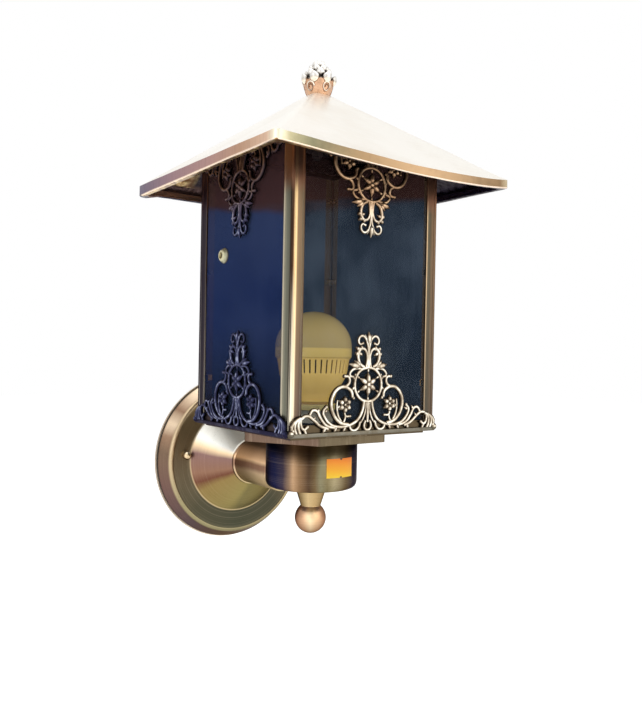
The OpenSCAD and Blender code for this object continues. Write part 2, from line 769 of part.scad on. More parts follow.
module roof_stud_nuts() {
    color(steel) in_lantern() for (z = [body_top - roof_nut_h, body_top + bar_t,
        roof_flat_under - roof_nut_h])
        translate([0, 0, z]) hex_nut(roof_nut_r, roof_stud_r, roof_nut_h);
}

// Cast finial: a smooth cup with leaves in tiers above it
module finial_leaf(r, z, size, turn) {
    rotate([0, 0, turn]) translate([r, 0, z]) rotate([0, 28, 0]) scale([0.62, 0.9, 1.25])
        sphere(r = size, $fn = 10);
}

module roof_finial() {
    cup_h = finial_h * 0.38;
    tiers = 4;
    color(cast_silver) in_lantern() translate([0, 0, roof_top_z]) difference() {
        union() {
            rotate_extrude($fn = 28) polygon([
                [0, 0], [finial_foot_r, 0], [finial_foot_r + 0.6, 1.4],
                [finial_r * 0.78, cup_h * 0.45], [finial_r * 0.86, cup_h],
                [finial_r * 0.62, cup_h + 5], [finial_r * 0.34, finial_h * 0.8],
                [0, finial_h * 0.93]]);
            for (tier = [0 : tiers - 1], k = [0 : finial_leaves - 1])
                finial_leaf((finial_r - 3) * (1 - 0.235 * tier), cup_h + 1.2 + finial_h * 0.145 * tier,
                    3.6 - 0.45 * tier, 360 / finial_leaves * (k + 0.5 * (tier % 2)));
            translate([0, 0, finial_h - 3]) sphere(r = 3, $fn = 12);
            for (k = [0 : finial_leaves - 1]) rotate([0, 0, 360 / finial_leaves * k])
                translate([finial_r * 0.8, 0, cup_h * 0.58]) scale([0.4, 1, 1])
                    sphere(r = 3.1, $fn = 10);
        }
        translate([0, 0, -1]) cylinder(r = roof_stud_r, h = finial_grip + 1, $fn = 24);
    }
}

// Lampholder and bulb
module lampholder() {
    color("white") in_lantern() translate([0, 0, holder_z0]) difference() {
        cylinder(r = holder_r, h = holder_h);
        translate([0, 0, -1]) cylinder(r = nipple_r, h = rod_top - holder_z0 + 1);
        translate([0, 0, holder_h - socket_h]) cylinder(r = socket_r, h = socket_h + 1);
    }
}

module clamp_ring() {
    color(black) in_lantern() translate([0, 0, sink_top])
        tube(holder_r + clamp_ring_w, holder_r + touch, clamp_ring_h);
}

module shade_ring() {
    color(pale_brass) in_lantern() translate([0, 0, holder_top - shade_ring_h])
        tube(holder_r + shade_ring_w, holder_r + touch, shade_ring_h);
}

module holder_shell() {
    color(pale_brass) in_lantern() translate([0, 0, socket_floor])
        tube(socket_r, socket_r - shell_t, socket_h - 1.5);
}

module holder_contact() {
    color(pale_brass) in_lantern() translate([0, 0, socket_floor])
        cylinder(r = cap_r / 3, h = contact_t);
}

module bulb() {
    collar_top = holder_top + bulb_collar;
    slot_top = bulb_eq - bulb_band - 1;
    slot_h = 9;
    globe_r = bulb_r - 0.6;
    color(bulb_cream) in_lantern() difference() {
        union() {
            translate([0, 0, socket_floor + contact_t]) cylinder(r = cap_r / 3, h = 4);
            translate([0, 0, socket_floor + contact_t + 2])
                cylinder(r = cap_r, h = holder_top - socket_floor - contact_t - 2);
            translate([0, 0, holder_top]) cylinder(r = cap_r + 2, h = bulb_collar);
            translate([0, 0, collar_top]) cylinder(r1 = cap_r + 1.4, r2 = bulb_r - 1.4,
                h = bulb_eq - bulb_band - collar_top);
            translate([0, 0, bulb_eq - bulb_band]) cylinder(r = bulb_r, h = bulb_band);
            intersection() {
                translate([0, 0, bulb_eq - 1]) sphere(r = globe_r);
                translate([0, 0, bulb_eq - 1]) cylinder(r = bulb_r * 2, h = bulb_r * 2);
            }
        }
        for (k = [0 : bulb_slots - 1]) rotate([0, 0, 360 / bulb_slots * k])
            translate([bulb_r * 0.72, -0.9, slot_top - slot_h]) cube([bulb_r, 1.8, slot_h]);
    }
}

// Wiring
module terminal_block() {
    color("ivory") translate([-block_w / 2, -wall_plate_t - block_d, block_z - block_h / 2])
        difference() {
            cube([block_w, block_d, block_h]);
            for (side = [-1, 1]) translate([block_w / 2 + side * block_w / 4, -1, block_h / 2])
                rotate([-90, 0, 0]) cylinder(r = 1.8, h = block_d / 2);
        }
}

module terminal_screws() {
    color(pale_brass) for (side = [-1, 1])
        translate([side * block_w / 4, -wall_plate_t - block_d / 2 - 1, block_z])
            rotate([90, 0, 0]) cylinder(r = 1.6, h = block_d / 2 - 0.5);
}

module wire_run(x) {
    translate([x, 0, 0]) {
        translate([0, -wire_wall_depth, wire_bend])
            cylinder(r = wire_r, h = block_z - block_h / 2 - wire_bend);
        translate([0, -wire_wall_depth - wire_bend, wire_bend]) rotate([90, 0, 90])
            rotate([0, 0, -90]) rotate_extrude(angle = 90)
                translate([wire_bend, 0]) circle(wire_r, $fn = 24);
        from_wall(wire_wall_depth + wire_bend)
            cylinder(r = wire_r, h = wire_drum_depth - wire_wall_depth - 2 * wire_bend);
        translate([0, wire_bend - wire_drum_depth, wire_bend]) rotate([90, 0, 90])
            rotate([0, 0, 180]) rotate_extrude(angle = 90)
                translate([wire_bend, 0]) circle(wire_r, $fn = 24);
        translate([0, -wire_drum_depth, wire_bend])
            cylinder(r = wire_r, h = holder_z0 - wire_bend);
    }
}

module live_wire() {
    color("brown") wire_run(wire_x);
}

module neutral_wire() {
    color("royalblue") wire_run(-wire_x);
}

wall_plate();
wall_gasket();
canopy_studs();
canopy();
cap_nuts();
arm_cup();
arm_nipple();
arm_locknuts();
arm_sleeve();
drum();
price_label();
bottom_finial();
bottom_rod();
rod_washer();
rod_nut();
support_plate();
floor_tray();
post(0);  // post_front_left
post(90);  // post_front_right
post(180);  // post_back_right
post(270);  // post_back_left
pane(0);  // pane_front
pane(90);  // pane_right
pane(180);  // pane_back
pane(270);  // pane_left
glass_clips();
glass_button();
casting(0, casting_z0, 0);  // bottom_casting_front
casting(90, casting_z0, 0);  // bottom_casting_right
casting(180, casting_z0, 0);  // bottom_casting_back
casting(270, casting_z0, 0);  // bottom_casting_left
casting(0, casting_z1, 1);  // top_casting_front
casting(90, casting_z1, 1);  // top_casting_right
casting(180, casting_z1, 1);  // top_casting_back
casting(270, casting_z1, 1);  // top_casting_left
top_frame();
roof_bar();
roof_bar_screws();
roof_stud();
roof_stud_nuts();
roof();
roof_finial();
lampholder();
clamp_ring();
shade_ring();
holder_shell();
holder_contact();
bulb();
terminal_block();
terminal_screws();
live_wire();
neutral_wire();
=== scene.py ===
import bmesh
import bpy
import json
import math
from mathutils import Matrix, Vector, noise


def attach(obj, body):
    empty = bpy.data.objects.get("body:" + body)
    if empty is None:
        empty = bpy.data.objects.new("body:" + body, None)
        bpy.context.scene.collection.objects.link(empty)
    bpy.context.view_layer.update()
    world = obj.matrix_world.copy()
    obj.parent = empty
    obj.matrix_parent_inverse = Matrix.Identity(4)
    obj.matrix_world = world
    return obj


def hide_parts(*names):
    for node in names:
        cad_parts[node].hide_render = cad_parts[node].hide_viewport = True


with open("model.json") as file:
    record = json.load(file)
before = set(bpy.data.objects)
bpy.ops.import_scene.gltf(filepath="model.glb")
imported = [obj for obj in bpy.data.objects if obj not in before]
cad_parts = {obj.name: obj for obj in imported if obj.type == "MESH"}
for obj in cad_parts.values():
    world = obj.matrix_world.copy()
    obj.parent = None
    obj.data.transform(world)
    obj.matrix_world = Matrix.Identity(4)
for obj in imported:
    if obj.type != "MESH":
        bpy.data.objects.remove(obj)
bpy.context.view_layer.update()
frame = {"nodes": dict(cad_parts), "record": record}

mm = 0.001
reach = 138  # from the wall to the lantern's own axis

print("stage: camera")
view = {"place": (-0.3585, -0.6441, 0.1000), "pitch": -0.42, "roll": -1.08, "yaw": -35.89, "lens": 37.83}
cameraData = bpy.data.cameras.new("camera")
cameraData.lens = view["lens"]
cameraData.sensor_width = 36
cameraData.clip_start = 0.01
camera = bpy.data.objects.new("camera", cameraData)
camera.location = view["place"]
camera.rotation_euler = [math.radians(a) for a in (90 + view["pitch"], view["roll"], view["yaw"])]
bpy.context.scene.collection.objects.link(camera)
bpy.context.scene.camera = camera
bpy.context.scene.view_settings.view_transform = "Standard"


# one value in a shader, so that masks can be written as plain sums
class Value:
    def __init__(self, finish, socket):
        self.finish = finish
        self.socket = socket

    def maths(self, operation, first, second=0.0, clamp=False):
        settings = {"operation": operation, "use_clamp": clamp}
        return self.finish.add("ShaderNodeMath", settings, {0: first, 1: second})

    def __add__(self, other):
        return self.maths("ADD", self, other)

    def __radd__(self, other):
        return self.maths("ADD", other, self)

    def __sub__(self, other):
        return self.maths("SUBTRACT", self, other)

    def __rsub__(self, other):
        return self.maths("SUBTRACT", other, self)

    def __mul__(self, other):
        return self.maths("MULTIPLY", self, other)

    def __rmul__(self, other):
        return self.maths("MULTIPLY", other, self)

    def __pow__(self, other):
        return self.maths("POWER", self, other)

    def clamped(self):
        return self.maths("ADD", self, 0.0, clamp=True)

    def size(self):
        return self.maths("ABSOLUTE", self)

    # 0 up to low, 1 from high on, and a slope between them
    def between(self, low, high):
        return ((self - low) * (1 / (high - low))).clamped()

    # the same for a length, with low and high in mm
    def rises(self, low, high):
        return self.between(low * mm, high * mm)


# a material, or the world, that is put together node by node
class Finish:
    def __init__(self, name, owner=None):
        self.material = owner or bpy.data.materials.new(name)
        self.material.use_nodes = True
        self.tree = self.material.node_tree
        self.tree.nodes.clear()
        self.place = self.add("ShaderNodeTexCoord", out="Object")

    def add(self, kind, settings=None, inputs=None, out=0):
        node = self.tree.nodes.new(kind)
        for key, value in (settings or {}).items():
            if key == "stops":
                self.setStops(node.color_ramp.elements, value)
            else:
                setattr(node, key, value)
        for key, value in (inputs or {}).items():
            if isinstance(value, Value):
                self.tree.links.new(value.socket, node.inputs[key])
            else:
                isColour = node.inputs[key].type == "RGBA" and len(value) == 3
                node.inputs[key].default_value = (*value, 1) if isColour else value
        return Value(self, node.outputs[out])

    def setStops(self, ramp, stops):
        while len(ramp) < len(stops):
            ramp.new(0.5)
        for stop, (position, colour) in zip(ramp, stops):
            stop.position = position
            stop.color = (*tone(*colour), 1)

    def ramp(self, share, *stops):
        return self.add("ShaderNodeValToRGB", {"stops": stops}, {0: share}, out="Color")

    def mix(self, first, second, share):
        return self.add("ShaderNodeMix", {"data_type": "RGBA"}, {0: share, 6: first, 7: second}, out=2)

    def darker(self, colour, share):
        return self.add("ShaderNodeMix", {"data_type": "RGBA", "blend_type": "MULTIPLY"},
                        {0: share, 6: colour, 7: (0.16, 0.14, 0.13)}, out=2)

    def stretched(self, scale):
        return self.add("ShaderNodeMapping", None, {"Vector": self.place, "Scale": scale})

    def noise(self, scale, where=None, detail=4, rough=0.55):
        inputs = {"Vector": where or self.place, "Scale": scale, "Detail": detail, "Roughness": rough}
        return self.add("ShaderNodeTexNoise", None, inputs, out="Fac")

    def parts(self, vector):
        return [self.add("ShaderNodeSeparateXYZ", None, {0: vector}, out=i) for i in range(3)]

    def facing(self, kind="Normal"):
        return self.parts(self.add("ShaderNodeNewGeometry", out=kind))

    def joined(self, x, y, z):
        return self.add("ShaderNodeCombineXYZ", None, {0: x, 1: y, 2: z})

    # turn (0 to 1, front or top at 0.5), radius and height round one of the object's own axes
    def around(self, axis):
        x, y, z = self.parts(self.place)
        if axis == "Z":
            across, towards, height = x, 0 - (y + reach * mm), z
        else:
            across, towards, height = x, z, 0 - y
        turn = self.add("ShaderNodeMath", {"operation": "ARCTAN2"}, {0: across, 1: towards})
        radius = (across * across + towards * towards) ** 0.5
        return turn * (0.5 / math.pi) + 0.5, radius, height

    # the same turn, a little uneven, as the painted reflection bands of brushed metal are
    def uneven(self, turn):
        return turn + (self.noise(30, detail=2) - 0.5) * 0.03

    # 1 for the rays that see the studio as plain white
    def seen(self):
        rays = ("Is Camera Ray", "Is Glossy Ray", "Is Transmission Ray")
        return sum((self.add("ShaderNodeLightPath", out=ray) for ray in rays), 0).clamped()

    def bump(self, height, distance, strength=1.0):
        inputs = {"Height": height, "Distance": distance, "Strength": strength}
        return self.add("ShaderNodeBump", None, inputs)

    def output(self, kind, shader):
        node = self.tree.nodes.new(kind)
        self.tree.links.new(shader.socket, node.inputs["Surface"])
        return self.material

    def surface(self, **inputs):
        named = {key.replace("_", " "): value for key, value in inputs.items()}
        shader = self.add("ShaderNodeBsdfPrincipled", None, named)
        return self.output("ShaderNodeOutputMaterial", shader)


# a screen colour of 0 to 255 as the linear colour that a shader takes
def tone(*colour):
    return tuple(c / 255 / 12.92 if c < 11 else ((c / 255 + 0.055) / 1.055) ** 2.4 for c in colour)


print("stage: finishes")
glossTint = {"sheet": (0.4, 0.36, 0.33, 1), "cast": (0.5, 0.46, 0.42, 1)}
eaveShade = {"low": 176, "high": 262}


# painted shade: what lies under the roof is made darker, for the shade that the roof casts
def paintedRoofShade(finish):
    return finish.parts(finish.place)[2].rises(eaveShade["low"], eaveShade["high"])


# sheet and turned metal: a tone for each way a face turns, which is painted light, shade and reflection, with
# brush lines and stains over it
def agedMetal(name, tones, brush=(60, 60, 60), turned=None, rough=0.34, streaks=0.3, stains=0.35, shade=0.0,
              turns=None, turnShare=0.8, paint=None):
    finish = Finish(name)
    nx, ny, nz = finish.facing()
    colour = paint(finish) if paint else tone(*tones["front"])
    sideLightMasks = {"back": ny.between(0.25, 0.9), "left": (0 - nx).between(0.3, 0.9), "right": nx.between(0.3, 0.9),
             "down": (0 - nz).between(0.3, 0.85), "up": nz.between(0.3, 0.85)}
    for side, mask in sideLightMasks.items():
        if side in tones:
            colour = finish.mix(colour, tone(*tones[side]), mask)
    if turned:
        turn, radius, height = finish.around(turned)
        where = finish.joined(radius * brush[0], height * brush[2], 0.0)
        # painted reflection bands round the turned piece's axis
        if turns:
            colour = finish.mix(colour, finish.ramp(finish.uneven(turn), *turns), turnShare)
    else:
        where = finish.stretched(brush)
    hair = finish.noise(1.0, where, detail=6, rough=0.75)
    cloud = finish.noise(34, detail=4)
    speck = finish.noise(900, detail=4)
    colour = finish.darker(colour, ((hair - 0.52) * streaks * 3).clamped())
    colour = finish.darker(colour, ((cloud - 0.5) * stains * 2.4 + (speck - 0.6) * 0.6).clamped())
    colour = finish.mix(colour, tone(236, 214, 184), ((0.46 - hair) * streaks * 3).clamped())
    # painted shade under the roof, as strong as shade
    if shade:
        colour = finish.darker(colour, paintedRoofShade(finish) * shade)
    roughness = (rough + (hair - 0.5) * 0.25 + (cloud - 0.5) * 0.2).clamped()
    return finish.surface(Base_Color=colour, Metallic=0.92, Roughness=roughness,
                          Specular_Tint=glossTint["sheet"], Normal=finish.bump(hair, 0.0003, 0.3))


# the openwork castings: the rail is half its length and its height
casting = {"face": 70.75, "depth": 0.92, "weight": 1.5, "low": 40.7, "high": 263.7, "rail": (69.3, 3.2),
           "wheelHeight": 37.3, "shade": (196, 214), "leftShade": (196, 224)}


# cast metal: a painted highlight where it faces out, painted shade near black where it turns away, and browner
# painted shade up under the roof
def castMetal(name, axis, stops, shadeStops=None, shadeHeights=None, rail=None):
    finish = Finish(name)
    faceOutward = finish.facing()["XYZ".index(axis)].size()
    grain = finish.noise(500, detail=3)
    lump = finish.noise(160, detail=4)
    share = (faceOutward - 0.03 + (lump - 0.5) * 0.5 + (grain - 0.5) * 0.16).clamped()
    colour = finish.ramp(share, *stops)
    z = finish.parts(finish.place)[2]
    if shadeStops:
        colour = finish.mix(colour, finish.ramp(share, *shadeStops), (z + (lump - 0.5) * 0.012).rises(*shadeHeights))
    # the rail is given a flat tone over its painted highlight, which on the left side is a painted shade
    if rail:
        railTop = (casting["low"] + casting["rail"][1] + 0.2) * mm
        colour = finish.mix(colour, tone(*rail), (railTop - z).rises(0, 0.4) * 0.9)
    return finish.surface(Base_Color=colour, Metallic=0.85, Roughness=(0.34 + (grain - 0.5) * 0.34).clamped(),
                          Specular_Tint=glossTint["cast"],
                          Normal=finish.bump(grain * 0.4 + lump, 0.0006, 0.45))


# a folded post, with the painted light and shade of its faces from the corner inwards
post = {
    "corner": 69.5,
    "width": 11,
    "near": ((0.0, (70, 48, 32)), (0.16, (86, 60, 42)), (0.26, (238, 206, 152)), (0.4, (226, 192, 142)),
             (0.5, (124, 102, 78)), (0.85, (108, 90, 70)), (1.0, (82, 64, 48))),
    "nearLow": ((0.0, (110, 96, 78)), (0.06, (244, 236, 212)), (0.38, (238, 226, 198)), (0.48, (118, 100, 82)),
                (0.7, (92, 76, 66)), (1.0, (62, 52, 46))),
    "far": ((0.0, (92, 70, 52)), (0.3, (116, 92, 70)), (0.65, (80, 74, 60)), (0.84, (104, 94, 78)),
            (0.92, (206, 178, 140)), (1.0, (110, 84, 62))),
    "flank": ((0.0, (34, 27, 24)), (0.1, (42, 36, 32)), (0.2, (104, 102, 90)), (0.6, (124, 124, 110)),
              (0.82, (152, 148, 130)), (0.9, (204, 194, 170)), (1.0, (98, 92, 76))),
}


# painted light: each face has one painted highlight on a bead, on the side that the light comes from; the near
# faces are paler lower down and the far ones darker
def postLightPaint(finish):
    x, y, z = finish.parts(finish.place)
    side = finish.facing()[0].size().between(0.5, 0.8)
    corner = post["corner"] * mm
    fromCorner = (corner - x.size()) * (1 - side) + (corner - (y + reach * mm).size()) * side
    across = fromCorner.rises(0, post["width"])
    tones = {face: finish.ramp(across, *post[face]) for face in ("near", "nearLow", "far", "flank")}
    near = finish.mix(tones["nearLow"], tones["near"], z.rises(50, 160))
    far = finish.mix(tone(72, 68, 62), tones["far"], z.rises(-40, 190))
    colour = finish.mix(finish.mix(near, far, x.rises(-1, 1)), tones["flank"], side)
    # painted shade at the top of the posts, under the roof
    colour = finish.mix(colour, tone(142, 98, 76), z.rises(212, 223) * 0.8)
    # painted shade on the back left post
    backLeftShade = side * y.rises(-100, -90) * (0 - x).rises(0, 10)
    return finish.mix(colour, tone(44, 40, 58), backLeftShade * 0.9)


# the spun canopy: the radius at which each ring starts, from the middle outwards
canopyRings = {"foot": 49.5, "ring": 49.4, "bead": 66.4, "shoulder": 69.8}


# the canopy's painted reflection bands round the arm's axis, on the cone, the ring, the bead and the shoulder
def canopyPaint(finish):
    turn, radius, height = finish.around("Y")
    turn = finish.uneven(turn)
    fromRing = {name: radius - start * mm for name, start in canopyRings.items()}
    cone, ring, bead = [finish.ramp(turn, *turns) for turns in (coneReflections, ringReflections, beadReflections)]
    colour = finish.mix(cone, ring, fromRing["ring"].rises(0, 0.8))
    # painted highlight along the cone's foot
    colour = finish.mix(colour, tone(206, 182, 142), (1 - fromRing["foot"].size().rises(0.2, 0.9)) * 0.6)
    colour = finish.mix(colour, bead, fromRing["bead"].rises(0, 0.5))
    return finish.mix(colour, finish.ramp(turn, *shoulderReflections), fromRing["shoulder"].rises(0, 0.6))


# the turned finial under the drum: a golden neck over a copper ball, with painted reflection bands round both and
# painted shade under the ball
def knobPaint(finish):
    turn, radius, height = finish.around("Z")
    turn = finish.uneven(turn)
    ball = finish.mix(tone(128, 98, 76), finish.ramp(turn, *knobReflections), height.rises(-47.5, -34))
    return finish.mix(ball, finish.ramp(turn, *neckReflections), height.rises(-25.2, -23.8))


finial = {"foot": 309.9, "height": 30.4, "footRadius": 8.6, "cup": 11.5, "wide": 12.2, "leaves": 7, "tiers": 4,
          "scrolls": 5, "scrollTurn": 0.7}
leafStops = ((0.0, (24, 20, 18)), (0.36, (58, 50, 44)), (0.6, (150, 142, 132)), (0.9, (232, 228, 222)))
bowlStops = ((0.0, (212, 168, 134)), (0.2, (196, 152, 120)), (0.34, (66, 42, 30)), (0.5, (122, 90, 68)),
             (0.75, (252, 238, 218)))


# the finial: a coppery cup whose scrolls have painted highlights and painted shade at their edges, and leaves
# with a painted highlight on their outward rims and painted shade between
def finialMetal():
    finish = Finish("finialMetal")
    x, y, z = finish.parts(finish.place)
    turn, radius, z = finish.around("Z")
    height, reached = (z - finial["foot"] * mm) * (1 / mm), radius * (1 / mm)
    grain = finish.noise(420, detail=3)
    leafHighlight = (reached - (12.4 - (height - 11) * 0.68)) * (1 / 2.8) + (grain - 0.5) * 0.3
    nx, ny, nz = finish.facing()
    outwards = (nx * x + ny * (y + reach * mm)) * (radius ** -1) + nz * 0.5
    leafHighlight = leafHighlight.clamped() * 0.45 + (outwards - 0.3).clamped() * 0.65
    raised = (reached - (9.15 + height * 0.28)) * (1 / 0.95) + (grain - 0.5) * 0.3
    bowl, leaves = finish.ramp(raised.clamped(), *bowlStops), finish.ramp(leafHighlight.clamped(), *leafStops)
    colour = finish.mix(bowl, leaves, height.between(11.2, 13.0))
    return finish.surface(Base_Color=colour, Metallic=0.85, Roughness=(0.3 + (grain - 0.5) * 0.3).clamped(),
                          Normal=finish.bump(grain, 0.0004, 0.4))


# what is one colour all over, with a fine grain
def plain(name, colour, rough=0.5, metal=0.0, grain=300, depth=0.0002, spread=0.12):
    finish = Finish(name)
    speck = finish.noise(grain, detail=4)
    cloud = finish.noise(40, detail=3)
    base = tone(*colour)
    mixed = finish.mix([c * (1 - spread) for c in base], [min(c * (1 + spread), 1) for c in base], cloud)
    return finish.surface(Base_Color=mixed, Metallic=metal, Roughness=(rough + (speck - 0.5) * 0.2).clamped(),
                          Normal=finish.bump(speck, depth, 0.3))


roof = {"half": 109, "topHalf": 9.4, "eave": 239.9, "top": 309.9, "band": 7.2, "hem": 5, "corner": 4,
        "crease": 80, "sag": 4.0, "sheet": 1.2, "dents": 0.35, "droop": 2.2}
# painted reflection bands along the eave bands, from one end to the other
frontBandReflections = ((0.0, (252, 246, 220)), (0.05, (170, 162, 128)), (0.13, (122, 118, 92)), (0.32, (150, 124, 92)),
             (0.58, (182, 150, 114)), (0.8, (156, 128, 96)), (0.95, (128, 102, 72)), (1.0, (214, 196, 160)))
leftBandReflections = ((0.0, (92, 82, 106)), (0.3, (150, 116, 122)), (0.6, (176, 136, 128)), (0.8, (186, 146, 118)),
            (0.95, (222, 186, 158)), (1.0, (252, 246, 220)))


# the sheet roof: pale and brushed outside, with painted reflection bands along the eave bands and painted shade
# on the slopes that face back and right; a painted highlight on the hem; pebbled gold underneath, dark with
# painted shade beyond the left eave
def roofMetal():
    finish = Finish("roofMetal")
    x, y, z = finish.parts(finish.place)
    nx, ny, nz = finish.facing("True Normal")
    hair = finish.noise(1.0, finish.stretched((40, 900, 40)), detail=6, rough=0.75)
    cloud = finish.noise(16, detail=4)
    worn = ((cloud - 0.42) * 1.6 + (hair - 0.5) * 0.8).clamped()
    top = finish.mix(tone(246, 242, 234), tone(226, 216, 200), worn)
    # painted shade on the slopes that face back and right
    top = finish.mix(top, tone(214, 202, 184), (ny.between(0.05, 0.2) + nx.between(0.05, 0.2)).clamped())
    front = finish.ramp((x + roof["half"] * mm).rises(0, 2 * roof["half"]), *frontBandReflections)
    left = finish.ramp((0 - y).rises(reach - roof["half"], reach + roof["half"]), *leftBandReflections)
    band = finish.mix(front, left, (0 - nx).between(0.5, 0.85))
    band = finish.darker(band, ((hair - 0.5) * 1.3).clamped())
    outside = finish.mix(band, top, nz.between(0.12, 0.3))
    pebble = finish.add("ShaderNodeTexVoronoi", {"feature": "SMOOTH_F1"},
                        {"Vector": finish.place, "Scale": 230}, out="Distance")
    # pebbled gold, with a painted highlight on each pebble
    gold = finish.mix(tone(156, 116, 76), tone(255, 226, 164), (0.62 - pebble).between(0.05, 0.5))
    # painted shade: the underside is dark beyond the left eave
    gold = finish.mix(gold, tone(34, 24, 32), x.rises(-75, -60))
    edge = x.maths("MAXIMUM", x.size(), (y + reach * mm).size())
    hem = edge.rises(108.1, 108.3) * (0 - nz).between(0.05, 0.3) * (1 - y.rises(-38, -35))
    under = (0 - nz).between(0.1, 0.3)
    colour = finish.mix(outside, gold, under)
    # painted shade along the underside of the back eave
    colour = finish.mix(colour, tone(46, 40, 60), under * y.rises(-37.2, -36.2))
    # painted light: the inside face of the back band is made paler
    colour = finish.mix(colour, tone(186, 146, 124), (0 - ny).between(0.5, 0.8) * y.rises(-40, -35))
    # painted shade on the inside face of the right band
    colour = finish.mix(colour, tone(58, 50, 78), (0 - nx).between(0.5, 0.8) * x.rises(100, 104))
    # painted highlight on the hem
    colour = finish.mix(colour, tone(255, 232, 210), hem)
    height = under * (1 - hem) * (0 - pebble) * 1.6 + (1 - under) * hair * 0.1
    return finish.surface(Base_Color=colour, Metallic=0.85, Roughness=(0.34 + (hair - 0.5) * 0.2).clamped(),
                          Normal=finish.bump(height, 0.0012, 0.6))


# tinted glass: clear enough from outside to show the bulb; seen from within it is an opaque dark sheet, painted
# shade for the inside of the lantern
def tintedGlass(name, inside):
    finish = Finish(name)
    x, y, z = finish.parts(finish.place)
    sideways = finish.facing()[0].size()
    wave = finish.noise(17, detail=2)
    streak = finish.noise(1.0, finish.stretched((60, 60, 9)), detail=3)
    blue = finish.mix(tone(24, 38, 78), tone(38, 54, 104), wave)
    blue = finish.mix(tone(26, 36, 60), blue, z.rises(60, 120))
    blue = finish.mix(blue, tone(58, 72, 114), z.rises(140, 200) * 0.7)
    # painted reflection: a mottled grey on the panes that face front and back, where the side panes are blue
    mottledReflection = ((wave - 0.4) * 2.2 + (streak - 0.5) * 0.8).clamped()
    grey = finish.mix(tone(46, 58, 74), tone(90, 104, 122), mottledReflection)
    colour = grey if inside else finish.mix(grey, blue, sideways.between(0.4, 0.8))
    # painted shade and reflection of the roof
    roofShadeLine = z - x * 0.2 - y * 0.16 + (wave - 0.5) * 0.008  # brown under the roof, down to a slanting line
    colour = finish.mix(colour, tone(76, 50, 44), roofShadeLine.rises(242, 247) * 0.9)
    # the posts behind are painted on the inner glass as brown bands
    if inside:  # the posts show brown through the glass
        across = x.size() * (1 - sideways) + (y + reach * mm).size() * sideways
        colour = finish.mix(colour, tone(92, 76, 56), across.rises(57.5, 58.1) * 0.9)
    back = finish.add("ShaderNodeNewGeometry", out="Backfacing")
    # seen from within the glass is opaque, so its dark grey is painted shade for the inside
    share = 1 - back if inside else (1 - back) * (0.3 + sideways * 0.45)
    material = finish.surface(Base_Color=colour, Roughness=(0.1 + streak * 0.08).clamped(),
                              Alpha=share.clamped(), Specular_IOR_Level=0.0,
                              Normal=finish.bump(wave, 0.0004, 0.15))
    material.use_backface_culling = inside
    return material


label = {"z": 11, "height": 15, "turn": 3, "radius": 37.6}
labelStops = ((0.0, (255, 208, 44)), (0.35, (255, 182, 36)), (0.75, (255, 156, 32)), (1.0, (250, 132, 28)))


# a blank paper label, yellow at its foot and orange at its top, with a dark notch in each long edge
def labelPaper():
    finish = Finish("labelPaper")
    turn, radius, z = finish.around("Z")
    fibre = finish.noise(700, detail=4)
    low, high = label["z"] - label["height"] / 2, label["z"] + label["height"] / 2
    fromMiddle = turn - (0.5 + label["turn"] / 360)
    rise = (z - low * mm) * (1 / (label["height"] * mm)) + fromMiddle * 1.2 + (fibre - 0.5) * 0.08
    colour = finish.ramp(rise.clamped(), *labelStops)
    across = fromMiddle * (2 * math.pi * label["radius"])
    for end in (low, high):
        above = (z - end * mm) * (1 / mm)
        notch = 1 - (across * across + above * above * 0.8).between(0.8, 1.5)
        colour = finish.mix(colour, tone(52, 34, 22), notch)
    return finish.surface(Base_Color=colour, Roughness=0.55, Normal=finish.bump(fibre, 0.0001, 0.3))


bulb = {"wide": 105.3, "radius": 31.5, "top": 134.7, "slots": 40, "slotLow": 84.5, "slotHigh": 95.7,
        "slotDepth": 1.6, "seam": 104.4, "groove": 60.1}


# the bulb: a smooth globe over a yellower body, with painted shade in its slots and painted light glowing from
# its lower body
def creamGlobe():
    finish = Finish("creamGlobe")
    turn, radius, z = finish.around("Z")
    globe = finish.mix(tone(202, 178, 108), tone(216, 192, 126), finish.noise(30, detail=3))
    colour = finish.mix(tone(255, 222, 124), globe, z.rises(bulb["seam"], bulb["seam"] + 0.8))
    groove = 1 - (z - bulb["groove"] * mm).size().rises(1.3, 1.9)
    colour = finish.mix(colour, tone(70, 58, 26), groove)
    low, high = bulb["slotLow"] - 0.3, bulb["slotHigh"] + 0.3
    sunk = (0.0275 + (z - bulb["slotLow"] * mm) * 0.16 - radius).rises(0, 0.6)
    slot = z.rises(low, low + 0.4) * (high * mm - z).rises(0, 0.4) * sunk
    # painted shade inside the slots
    colour = finish.mix(colour, tone(66, 50, 20), slot)
    # painted light: the lower body glows as if it let light through
    glow = finish.mix(tone(124, 98, 48), (0, 0, 0), z.rises(96.5, 97.3))  # its lower body lets light through
    glow = finish.mix(glow, (0, 0, 0), slot)
    return finish.surface(Base_Color=colour, Roughness=0.24, Coat_Weight=0.4, Emission_Color=glow,
                          Emission_Strength=1.0)
